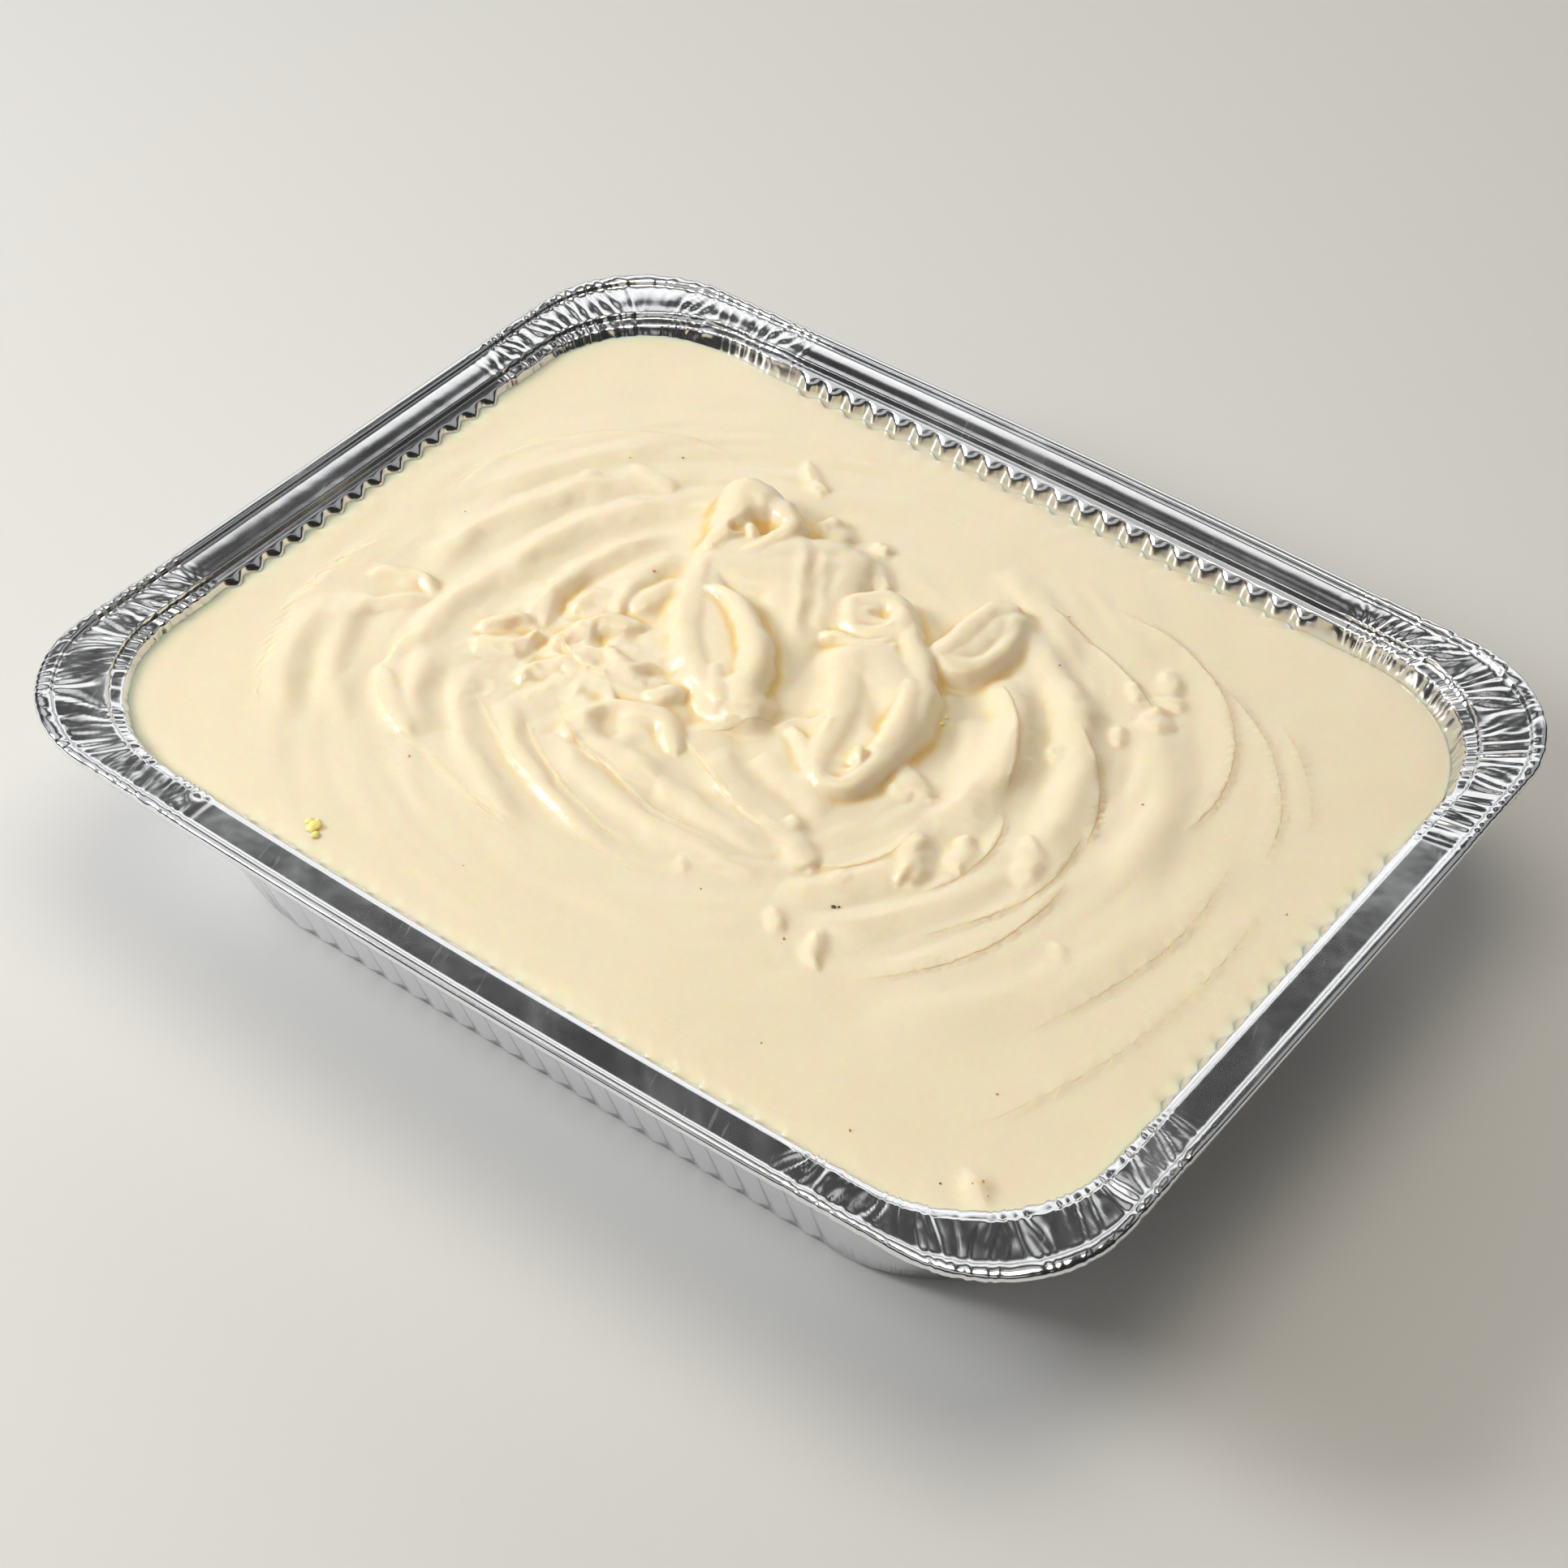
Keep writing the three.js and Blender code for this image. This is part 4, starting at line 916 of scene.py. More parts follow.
# %% The curl, the ring, the lobe and the bean
CURL = [  # the curled fold, open along its middle
    ("roll", 2.2, 0.45, 0.9, (-47.5, 25.5, 5.5, 4), (-38.5, 15.5, 5.5, 7), (-29.5, 6.5, 5.3, 8),
     (-19.5, -2, 5.3, 7), (-12, -6.5, 5.3, 6)),
    ("roll", 2.4, 0.4, 0.94, (-53, 30, 5.4, 2.2), (-49, 20.5, 5.9, 2.6), (-40.5, 6.5, 6.1, 2.8),
     (-30.5, -3.5, 6.2, 3), (-20.5, -8.5, 6, 3.6), (-12, -10.5, 5.8, 4), (-8, -10, 5.4, 4)),
    ("roll", 1.8, 1, 0.93, (-44.5, 21.5, 6.8, 1.2), (-41.5, 22, 8, 1.8), (-35, 20.5, 9, 3),
     (-27, 15.5, 9.4, 4), (-20.5, 9.5, 9.4, 4.6), (-15.5, 2.5, 9, 4.9), (-13, -3, 7.6, 4.8),
     (-11, -8, 6.4, 4.8)),
    ("roll", 2.6, 1, 0.9, (-16, -5, 6.9, 3.2), (-10.5, -7, 6.9, 4.4), (-8, -6.5, 6.2, 4)),
    ("roll", 2, 0.8, 0.88, (-23.5, -2.5, 6, 1.6), (-19.5, -8, 6.4, 2), (-15.5, -11.5, 6.4, 2.2)),
]
RING = [  # the small ring, with its lip
    ("roll", 1.8, 0.9, 0.9, (-10.5, 37, 5.8, 2.2), (-12, 41, 6.6, 2.8), (-9, 45, 7, 3.2),
     (-5, 48, 7.4, 3.6), (-0.5, 47, 7.4, 4), (2.5, 42.5, 7.2, 3.6), (1.5, 38, 6.8, 2.6),
     (-1.5, 34.5, 6.2, 2.2), (-5.5, 33, 5.8, 2), (-8.5, 34.5, 5.6, 2), (-10.5, 37, 5.8, 2.2)),
    ("roll", 2.2, 0.4, 0.9, (-8.5, 37.5, 6.6, 4), (-5, 40.5, 6.4, 4.4)),
    ("dent", 1.8, 0.8, 0.85, (-4.5, 40.5, 5.2, 1.2), (-3, 42, 4.4, 1.4)),
    ("roll", 1.2, 1, 0.9, (-10.5, 27.5, 4.8, 2), (-8.5, 28, 5.4, 2.1), (-4, 29, 5.2, 1.6),
     (0.5, 31.5, 5.2, 1.6), (3.5, 35, 5.6, 1.8), (4, 40, 6.2, 2.2)),
]
LOBE = [  # the long lobe that runs down from the ring and turns back on itself
    ("roll", 2.4, 0.4, 0.93, (3.5, 27.5, 5.2, 8), (15, 17.5, 4.8, 11), (22, 5, 4.4, 9), (25, -9.5, 4, 7)),
    ("roll", 3, 0.45, 0.9, (0.5, 22.5, 6.4, 3.6), (5, 16, 6.2, 4.2), (10, 7, 6, 4.2), (13, -1, 5.4, 3),
     (15.5, -9, 5, 2.6), (19, -16.5, 4.6, 2.2)),
    ("roll", 3, 0.4, 0.9, (7, 29, 6.2, 5), (17, 23.5, 6.4, 6), (22.5, 18.5, 6.2, 6)),
    ("roll", 2.4, 1, 0.93, (3, 44.5, 7, 4), (9.5, 38.5, 7, 4), (16.5, 31.5, 7, 4.2), (22, 25, 7.2, 4.6),
     (26.5, 17, 7.2, 4.8), (28, 9.5, 6.8, 4.8), (29, 1.5, 6.4, 4.6), (29, -6, 5.8, 4.2),
     (28.5, -12.5, 5.4, 3.6), (26, -16.5, 5, 3), (21.5, -17.5, 4.7, 2.5), (17, -15.5, 4.4, 2)),
    ("dent", 2, 0.7, 0.85, (10, 18.5, 5, 2.6), (15, 16, 3.9, 3.2), (19, 12, 3.4, 3.2),
     (21, 6.5, 3.6, 2.4)),
    ("roll", 3, 0.4, 0.9, (3.5, 24.5, 6, 5), (11.5, 22.5, 6.4, 6), (20, 19, 7, 5)),
    ("roll", 1.6, 0.9, 0.92, (19, 22.5, 7.8, 1.6), (23, 17, 8.2, 3), (25.5, 10.5, 8, 3.8),
     (27, 4, 7.2, 3.6), (27, -1, 6.4, 2.8)),
    ("roll", 0.9, 1, 0.92, (23.5, -5, 7, 1.8), (24.5, -7.5, 6.8, 2.2), (25, -10, 5.8, 1.9)),
    ("dent", 1.4, 0.8, 0.85, (21.5, -11.5, 3.8, 1.6), (23, -10, 3.4, 1.4)),
    ("roll", 1.4, 1, 0.9, (10.5, -0.5, 5.6, 1), (12.5, -4, 5, 1.4)),
    ("roll", 1.4, 0.9, 0.9, (4.5, -7, 3.4, 1.4), (8.5, -9, 3.8, 2.6), (13.5, -12, 4, 3.2),
     (17, -16, 4.2, 2.8)),
    (*LEDGE_STROKE, (6.5, 3.5, 0.4, 5), (5, 0.5, 0.8, 6), (1.5, -2, 1, 6), (-1.5, -8.5, 0.8, 6)),
]
BEAN = [  # the bean-shaped fold
    ("roll", 2.6, 0.4, 0.9, (22, 61.5, 5, 4.4), (21.5, 50, 5.2, 4.8), (19.5, 40.5, 5, 4.2)),
    ("roll", 2.2, 0.9, 0.9, (22, 67.5, 4.8, 2.2), (18, 63, 5.8, 3.2), (17, 54, 6.2, 3.6),
     (17, 44.5, 5.8, 3.4), (15.5, 39, 4.8, 2.6)),
    ("roll", 2.2, 0.7, 0.9, (25, 65, 4.4, 2.2), (28.5, 55.5, 4.7, 2.6), (28, 44.5, 4.9, 2.8),
     (22.5, 37.5, 4.9, 2.8), (18, 38, 4.8, 2.4)),
]
print([len(group) for group in (CURL, RING, LOBE, BEAN)], "strokes")

# %% [markdown]
# Small lumps lie about between the swirls. One line of numbers places a lump:
# a short stroke that is a little higher and wider in its middle than at its
# ends. Two knobs on each, drawn with a fixed seed, keep it from looking like a
# button.

# %% The smaller lumps, and all the strokes in order
LUMPS = [  # x, y, heading in degrees, length, half width, height
    (-35, 65, -30, 9, 4.2, 3.4), (-22, 69, -40, 5, 1.9, 1.8), (-15, 58, -50, 10, 2.4, 2.4),
    (6, 36, -40, 5, 1.6, 5.6), (-55, 82, -40, 13, 1.8, 1.5), (-116, -23, 0, 10, 2.2, 1.7),
    (-115, -36, -80, 6, 1.8, 0.9), (-89, 54, -10, 14, 2.2, 1.5), (-104, 42, 90, 8, 1.6, 1.1),
    (54, -24, -60, 17, 3.0, 3.4), (29, -39, -30, 17, 4.4, 3.4), (45, -41, 0, 3, 2.6, 1.8),
    (41, -62, -60, 6, 2, 1.5), (53, -64, -70, 9, 1.9, 1.6), (11, -61, -60, 4, 1.5, 1),
    (69, 72, -60, 9, 2.2, 1.8), (73, 66, 20, 6, 1.8, 1.4), (64, 63, -20, 5, 2, 1.4),
    (69, 46, -60, 6, 2, 1.4), (75, 56, -20, 8, 4, 2.2), (78, -8, -70, 14, 3, 2.4),
    (38, -5, 10, 8, 4, 2.4), (63, -16, -90, 10, 2.8, 2), (-20, -42, -20, 9, 2, 2.0),
    (12, -46, -20, 7, 2, 1.8), (100, -28, -60, 5, 1.6, 0.9), (60, 30, -60, 5, 1.8, 1.2),
    (126, -101, -30, 6, 2.4, 2.0),
]


def lump_points(x, y, heading, length, half, height):
    a = math.radians(heading)
    places = ((-0.5, 0.72, 1), (0, 0.85, 1.1), (0.5, 0.72, 1))
    return [
        (x + along * length * math.cos(a), y + along * length * math.sin(a), height * high, half * wide)
        for along, high, wide in places
    ]


def knobs(lumps):
    """Two small lumps on the flanks of each lump."""
    draw = np.random.default_rng(11)
    for x, y, heading, length, half, height in lumps:
        a = math.radians(heading)
        for side in (-1, 1):
            along, across, size = draw.uniform((-0.5, 0.2, 0.35), (0.5, 0.8, 0.6))
            kx = x + along * length * math.cos(a) - side * across * half * math.sin(a)
            ky = y + along * length * math.sin(a) + side * across * half * math.cos(a)
            turn = heading + 70 * along * side
            yield lump_points(kx, ky, turn, length * size, half * size, height * (0.9 + 0.5 * size))


LAID_FOLDS = TORN + TONGUES + CRUMPLED + SHEET + DOLLOP + CURL + RING + LOBE + BEAN
STROKES = MOUND + [(*LEDGE_STROKE, *arc_points(*arc)) for arc in LEDGES]
STROKES += [(*SWELL, *arc_points(*arc)) for arc in RIDGES]
STROKES += LAID_FOLDS
STROKES += [("lump", 2.2, 0.6, 0.85, *lump_points(*lump)) for lump in LUMPS]
STROKES += [("lump", 1.2, 0.8, 0.85, *knob) for knob in knobs(LUMPS)]
print(len(STROKES), "strokes")

# %% [markdown]
# One function lays every stroke in turn. A stroke only looks at the points near
# it, which keeps the work short. Over the strokes go the marks that nobody would
# place by hand: streaks of noise drawn out round the stir's centre, sharp little
# ridges where the mash is crumpled, and a faint unevenness all over. A second
# function finds the torn steps, for the finish.

# %% The whole relief
STIR_SPREAD = 9.0  # mm of noise per radian round the stir's centre: long, drawn-out streaks
STREAKS = ((0.32, 1, 6.5, 5), (0.20, 2, 3.1, 9))  # height, pace round the centre, size and seed
RIDGED = ((1.7, 6.2, 21), (0.7, 3.1, 22))  # height, size and seed of the ridges in the crumpled mash
FAINT = ((0.12, 14, 7), (0.06, 5, 6), (0.03, 1.8, 8))  # height, size and seed of the faint unevenness
WANDER_X, WANDER_Y = ((0.7, 6, 1), (0.25, 2.5, 2)), ((0.7, 6, 3), (0.25, 2.5, 4))  # how strokes wander
TALLEST = 12  # mm that a fold can stand over what is round it


def layered(x, y, layers):
    """Noises added up; each layer has a height, a size and a seed."""
    return sum(high * soft_noise(x, y, size, seed) for high, size, seed in layers)


def relief(x, y):
    """Height of the mash's surface over its level, in mm, at flat arrays x and y."""
    wx, wy = x + layered(x, y, WANDER_X), y + layered(x, y, WANDER_Y)
    h = np.zeros(len(x))
    for kind, blend, drop, steep, *points in STROKES:
        line = smooth_line(points)
        reach = 2.2 * line[:, 3].max()
        if kind in ("roll", "dent", "lump"):
            reach = line[:, 3].max() + TALLEST / (drop * steep / math.sqrt(1 - steep * steep)) + 3
        low, high = line[:, :2].min(0) - reach, line[:, :2].max(0) + reach
        near = (wx > low[0]) & (wx < high[0]) & (wy > low[1]) & (wy < high[1])
        h[near] = lay_stroke(h[near], wx[near], wy[near], kind, line, blend, drop, steep)
    from_x, from_y = x - STIR_CENTRE[0], y - STIR_CENTRE[1]
    r, angle = np.hypot(from_x, from_y), np.arctan2(from_y, from_x)
    # the streaks lie from 35 to 150 mm round the centre
    stirred = smooth_step((r - 35) / 25) * smooth_step((150 - r) / 50)
    run = STIR_SPREAD * np.abs(angle - 0.7)
    for high, pace, size, seed in STREAKS:
        h += stirred * high * soft_noise(r, pace * run, size, seed)
    # the ridges fade out from the middle of the crumpled place
    crumpled = np.exp(-(((x + 60) / 20) ** 2) - ((y + 20) / 19) ** 2)
    for high, size, seed in RIDGED:
        h += crumpled * high * (0.5 - np.abs(soft_noise(wx, wy, size, seed)))
    return h + layered(x, y, FAINT)


def torn_edges(x, y):
    """How far each point is across the nearest torn step, and how deep the tear is there, in mm."""
    across, depth = np.full(len(x), 2.0), np.zeros(len(x))
    for kind, _, _, _, *points in STROKES:
        if kind == "ledge":
            distance, height, _, side, share = nearest(smooth_line(points), x, y)
            close = 1 - smooth_step((distance - 0.5) / 0.9)
            here = 0.2 * height * smooth_step(7 * np.minimum(share, 1 - share)) * close
            across = np.where(here > depth, distance * side, across)
            depth = np.maximum(depth, here)
    return across, depth


sample = relief(np.array([-54.0, 0.0, 120.0]), np.array([56.0, 0.0, -90.0]))
print("heights over the level, on the dollop, the middle and the plain:", np.round(sample, 2), "mm")

# %% [markdown]
# ## The mash's body
# The surface is a fine grid under the folds, and outside it are rings that go
# from the grid's edge to the wall, wider and wider apart, because the plain
# needs fewer points. The rings end at the tray's wall with its flutes, so first
# the tray's outline is worked out once more, in numbers.

# %% The outline, in numbers
MASH_STEPS = (56, 74, 88)  # steps along a short side's flutes, round a corner, along a long side's flutes
EDGE_LEVEL = MASH_LEVEL - 1  # the mash meets the wall about here
WALL_FLUTED = 0.97  # a little less than the foil's flutes, so that the mash stays inside them
CORNER_GAP = 0.3  # keeps the mash inside the folds of the corners' walls


def outline(inset, flute):
    """The tray's outline at an inset, anticlockwise from the middle of the right side."""
    steps_short, steps_corner, steps_long = MASH_STEPS
    radius = RIM_CORNER + (WALL_CORNER - RIM_CORNER) * min(inset / BAND_INSET, 1)
    beside_short = HALF_WIDTH - inset - HALF_FLUTED["short"]
    beside_long = HALF_LENGTH - inset - HALF_FLUTED["long"]
    radius = min(radius, beside_long, beside_short)
    before, after = beside_short - radius, beside_long - radius
    arc = radius * math.pi / 2
    short = np.r_[np.linspace(0, 1, steps_short, endpoint=False), np.ones(steps_corner + steps_long)]
    round_corner = np.linspace(0, 1, steps_corner, endpoint=False)
    corner = np.r_[np.zeros(steps_short), round_corner, np.ones(steps_long)]
    long = np.r_[np.zeros(steps_short + steps_corner), np.linspace(0, 1, steps_long, endpoint=False)]
    run = corner * (before + arc + after)
    angle = np.clip(run - before, 0, arc) / radius
    phases = np.array([short * FLUTES["short"], long * FLUTES["long"]])
    waves = (0.5 - 0.5 * np.cos(2 * math.pi * phases)).sum(0)
    in_corner = np.clip(corner / FOLDS_START, 0, 1) * np.clip((1 - corner) / FOLDS_START, 0, 1)
    push = flute * (FLUTE_DEPTH * waves + CORNER_GAP * in_corner)
    fade = 1 - np.clip((inset - WALL_TOP_INSET) / (BASE_INSET - WALL_TOP_INSET), 0, 1)
    x = HALF_FLUTED["long"] * (1 - long) + after - np.clip(run - before - arc, 0, None)
    x = x + (radius - push) * np.cos(angle)
    y = HALF_FLUTED["short"] * short + np.minimum(run, before) + (radius - push) * np.sin(angle)
    bow = LONG_SIDE_BOW * fade * np.cos(math.pi / 2 * np.clip(x / (HALF_LENGTH - RIM_CORNER), 0, 1))
    y = y + bow * (angle * 2 / math.pi) ** 4
    first = np.c_[x, y]
    back_middle = np.array([[0.0, HALF_WIDTH - inset + LONG_SIDE_BOW * fade]])
    second = np.vstack([back_middle, first[:0:-1]]) * (-1, 1)
    half = np.vstack([first, second])
    return np.vstack([half, -half])


print("outline of", len(outline(15.4, 1)), "points")

# %% [markdown]
# The plan is the grid and the rings seen from above. The grid's edge has as many
# points as the outline, so each ring has that number too, and the strips between
# rings are plain quads.

# %% The grid and the rings
GRID_LOW, GRID_HIGH = np.array([-88.0, -52.0]), np.array([62.0, 72.0])
GRID_COLUMNS = 2 * (MASH_STEPS[2] + MASH_STEPS[1] // 2)
GRID_ROWS = 2 * (MASH_STEPS[0] + MASH_STEPS[1] // 2)
RINGS = 54
GROWTH = 1.02  # each ring is this much wider than the one inside it
LAST_RINGS = (0.985, 0.993, 1.0)  # how far towards the wall the last of them is, and two close ones


def mash_plan():
    """The plan of the surface: the grid's points, its edge's numbers and the rings."""
    xs = np.linspace(GRID_LOW[0], GRID_HIGH[0], GRID_COLUMNS + 1)
    ys = np.linspace(GRID_LOW[1], GRID_HIGH[1], GRID_ROWS + 1)
    number = np.arange((GRID_ROWS + 1) * (GRID_COLUMNS + 1)).reshape(GRID_ROWS + 1, GRID_COLUMNS + 1)
    grid = np.c_[np.tile(xs, GRID_ROWS + 1), np.repeat(ys, GRID_COLUMNS + 1)]
    half = GRID_ROWS // 2
    edge = np.r_[number[half:-1, -1], number[-1, :0:-1], number[:0:-1, 0], number[0, :-1], number[:half, -1]]
    wall = outline(wall_inset(EDGE_LEVEL), WALL_FLUTED)
    share = np.cumsum(GROWTH ** np.arange(RINGS))
    share = np.r_[LAST_RINGS[0] * share / share[-1], LAST_RINGS[1:]]
    rings = grid[edge] + share[:, None, None] * (wall - grid[edge])
    return grid, number, edge, rings, wall


PLAN = mash_plan()
print("the plan has", len(PLAN[0]), "grid points and", len(PLAN[3]), "rings of", len(PLAN[2]))

# %% [markdown]
# The plan is raised by the relief. Where the mash meets the metal it dips and
# ripples at each flute. It lies lower along the back wall and is heaped a little
# against the left one. The wall slopes, so the edge moves in where it lies
# lower, or the mash would stand out through the foil.

# %% Where the mash meets the wall
HEAP_LEFT, DROP_BACK = 1.3, 2.0  # mm at the wall, up on the left and down at the back
FAR_FROM_WALL = 60.0  # mm, for the points of the grid, which the wall doesn't touch


def at_the_wall(h, grid, rings, wall):
    """The heights h, changed where the mash meets the tray's wall."""

    def on_rings(numbers):
        """Numbers along the wall, given to all the rings; the grid gets 0."""
        return np.r_[np.zeros(len(grid)), np.tile(numbers, len(rings))]

    to_wall = np.r_[np.full(len(grid), FAR_FROM_WALL), np.linalg.norm(wall - rings, axis=2).ravel()]
    # folds flatten towards the wall, and the last millimetres dip
    h = h * (1 - 0.6 * np.exp(-to_wall / 4)) - 0.8 * np.exp(-to_wall / 1.6)
    inset = wall_inset(MASH_LEVEL)
    fluted = on_rings(np.linalg.norm(outline(inset, 1) - outline(inset, 0), axis=1) / FLUTE_DEPTH - 0.5)
    away = on_rings(smooth_step((wall[:, 1] - 40) / 60) * smooth_step((wall[:, 0] + 130) / 60))
    heaped = on_rings(smooth_step((-wall[:, 0] - 110) / 25))
    h = h + (HEAP_LEFT * heaped - DROP_BACK * away) * np.exp(-to_wall / 5)
    ripple = 0.35 * np.exp(-(((to_wall - 3.6) / 1.5) ** 2)) - 0.7 * np.exp(-to_wall / 1.3)
    return h + fluted * ripple


def against_the_slope(h, grid, rings, wall):
    """The plan with its edge where the sloping wall is at the mash's height there."""
    inwards_per_mm = outline(wall_inset(EDGE_LEVEL - 1), WALL_FLUTED) - wall
    down = EDGE_LEVEL - MASH_LEVEL - h[-len(wall):]
    near = np.exp(-np.linalg.norm(wall - rings, axis=2) / 4)
    return np.vstack([grid, (rings + near[..., None] * inwards_per_mm * down[:, None]).reshape(-1, 2)])


print("the mash is heaped", HEAP_LEFT, "mm on the left and lies", DROP_BACK, "mm lower at the back")

# %% [markdown]
# Below the last ring the body goes down the wall in two steps and closes under
# the mash, a little clear of the foil. Two more things are stored for the finish:
# how hollow each place is, which is how far it lies under its neighbours, and
# how near a torn step it is. The finish paints shade into the hollows and beside
# the steps from them, and raises the torn lip.

# %% The mash as a mesh
NEIGHBOURS = [(3 * math.cos(a), 3 * math.sin(a)) for a in np.arange(0, 2 * math.pi, math.pi / 4)]
WALL_GAP, FLOOR_GAP = 0.4, 0.3
UNDERSIDE = FOIL + FLOOR_GAP
BELOW = (  # inset, share of the flutes and height of the outlines below the surface
    (wall_inset(30) + WALL_GAP, WALL_FLUTED, 30), (wall_inset(WALL_FOOT) + WALL_GAP, 0.9, WALL_FOOT),
    (BASE_INSET + BASE_ROUND + 0.6, 0, UNDERSIDE),
)


def mash_faces(number, edge, rings):
    """The grid's quads, the bands between rings and the fan that closes the underside."""
    n = len(edge)
    quads = np.stack([number[:-1, :-1], number[:-1, 1:], number[1:, 1:], number[1:, :-1]], -1).reshape(-1, 4)
    loops = [edge] + [number.size + r * n + np.arange(n) for r in range(len(rings) + len(BELOW))]
    bands = [np.c_[a, b, np.roll(b, -1), np.roll(a, -1)] for a, b in zip(loops, loops[1:])]
    middle = np.full(n, loops[-1][-1] + 1)
    under = np.c_[loops[-1], middle, np.roll(loops[-1], -1)]
    return [*quads.tolist(), *np.vstack(bands).tolist(), *under.tolist()]


def mash_mesh(grid, number, edge, rings, wall):
    flat = np.vstack([grid, rings.reshape(-1, 2)])
    stirred = relief(flat[:, 0], flat[:, 1])
    h = at_the_wall(stirred, grid, rings, wall)
    points = [np.c_[against_the_slope(h, grid, rings, wall), MASH_LEVEL + h]]
    points += [np.c_[outline(inset, flute), np.full(len(edge), z)] for inset, flute, z in BELOW]
    points = np.vstack([*points, [[0, 0, UNDERSIDE]]]) * MM
    mesh = bpy.data.meshes.new("mash")
    mesh.from_pydata(points.tolist(), [], mash_faces(number, edge, rings))
    mesh.polygons.foreach_set("use_smooth", [True] * len(mesh.polygons))
    around = sum(relief(flat[:, 0] + dx, flat[:, 1] + dy) for dx, dy in NEIGHBOURS) / len(NEIGHBOURS)
    across, depth = torn_edges(flat[:, 0], flat[:, 1])
    for name, numbers in (("hollow", around - stirred), ("tear_across", across), ("tear_depth", depth)):
        store(mesh, name, numbers)
    return mesh


mash = bpy.data.objects.new("mashed_potato_folds", mash_mesh(*PLAN))
bpy.context.scene.collection.objects.link(mash)
highest = max(point.co.z for point in mash.data.vertices) / MM
print("mash:", triangles(mash), "triangles, highest", round(highest, 1), "mm")

# %% [markdown]
# ## Mash: the finish
# Mashed potato with butter is a pale cream. Light goes a little way into it and
# comes out warmer, so the creases look yellow and not grey, and thin crests look
# nearly white. It is moist, so it has a soft gloss. A very fine grain, like wet
# plaster, breaks the highlights up. The stored numbers steer the rest: hollows
# and a thin strip beside each torn step get painted shade, a deeper yellow, and
# beside a torn step the bump raises a thin ragged lip.

# %% The mash's material
def mash_sockets(board, place):
    hollow, across, tear = (board.stored(name) for name in ("hollow", "tear_across", "tear_depth"))
    cloud = board.noise(place, 22.0, 3.0, 0.6)
    grain = board.noise(place, 900.0, 3.0, 0.6)
    pits = board.noise(place, 420.0, 2.0, 0.5)
    soft = board.noise(place, 170.0, 2.0, 0.5)
    base = board.mix_colours(cloud, (0.885, 0.770, 0.550, 1), (0.915, 0.808, 0.622, 1))
    # painted shade: a deeper yellow just beside each torn step, for the warm light that gathers under its
    # lip
    painted_lip_shade = tear * 1.5 * (1 - abs(across).smooth(0.1, 0.6))
    # painted shade: the colour turns a deeper yellow in hollows, for the warm light that gathers in creases
    painted_shade = (hollow.smooth(0.1, 1.7) + painted_lip_shade).clamp(0, 0.8)
    ragged = board.noise(place, 500.0, 2.0, 0.6)
    uneven = 0.35 + 1.3 * board.noise(place, 160.0).smooth(0.35, 0.6)
    lip = tear * (across + 0.9 * (ragged - 0.5)).smooth(-0.13, 0.13) * uneven
    height_mm = lip + 0.14 * soft + 0.05 * grain + 0.05 * pits
    return {
        # the deeper yellow mixed in here is painted shade for hollows and torn steps
        "Base Color": board.mix_colours(painted_shade, base, (0.86, 0.60, 0.20, 1)),
        "Roughness": 0.30 + 0.14 * cloud + 0.08 * grain,
        "Normal": board.bump(height_mm),
        "Subsurface Weight": 1.0, "Subsurface Radius": (1.0, 0.5, 0.11), "Subsurface Scale": 0.0036,
        "Coat Weight": 0.35, "Coat Roughness": 0.22,
    }


MASH = finish("mashed_potato", mash_sockets)
mash.data.materials.append(MASH)
print("made", MASH.name, "with", len(MASH.node_tree.nodes), "nodes")

# %% [markdown]
# ## Crumbs and specks
# A few things lie on the mash that are not mash: a crumb of butter, flecks of
# brown crust from the pot, and pepper. They are far too small for the CAD model.
# Each kind is one piece. A short tree puts an uneven pebble on every point of a
# list, turned by a random number with a fixed seed and sized by the point's own
# attribute. The points lie just over the relief, so the pebbles are partly sunk.

# %% Where they lie
BITS = {  # kind: its two colours, then x, y and length in mm
    "butter_crumbs": (
        (1.0, 0.80, 0.18), (1.0, 0.86, 0.36),
        [
            (-67, -108, 4.0), (-64.9, -109.8, 2.6), (-69.4, -107, 2.4), (-67.8, -105.8, 1.7),
            (32, 20, 1.6), (31.5, 23, 1.1),
        ],
    ),
    "brown_specks": (
        (0.42, 0.14, 0.03), (0.66, 0.36, 0.10),
        [
            (-62, 20, 1.0), (43, 58, 0.7), (33, 78, 0.6), (88, 28, 0.7), (136, 18, 0.6), (46, -66, 0.8),
            (20, -65, 0.6), (-66, -74, 0.7), (-100, 57, 0.6), (-89, 67, 0.7), (94, -105, 0.8),
            (114, -75, 0.7), (127, -100, 0.8), (129.5, -101.5, 0.6), (125.5, -102, 0.5), (-30, -95, 0.5),
            (62, -96, 0.5), (-120, 10, 0.5),
        ],
    ),
    "pepper_specks": (
        (0.05, 0.04, 0.03), (0.16, 0.12, 0.08),
        [(49, -50, 1.3), (50, -49.2, 0.8), (119, -105, 0.7)],
    ),
}
RAISED = 0.1  # how far a pebble's middle is over the mash, as a share of its length


def points_on_mash(name, places):
    """A mesh of loose points on the mash, each with its pebble's length."""
    x, y, length = np.array(places, float).T
    z = MASH_LEVEL + relief(x, y) + RAISED * length
    mesh = bpy.data.meshes.new(name + "_points")
    mesh.from_pydata((np.c_[x, y, z] * MM).tolist(), [], [])
    store(mesh, "length", length * MM)
    return mesh


print({kind: len(places) for kind, (_, _, places) in BITS.items()})

# %% [markdown]
# The tree makes one pebble, a ball pushed about by noise and flattened, and puts
# it on the points. Their finish is two colours and a rough, slightly wet surface.

# %% The pebbles' tree and finish
PEBBLE_SHAPE = (1, 0.75, 0.55)  # length, width and height of a pebble of length 1
LUMPS_ACROSS = 2.2  # lumps per length of a pebble


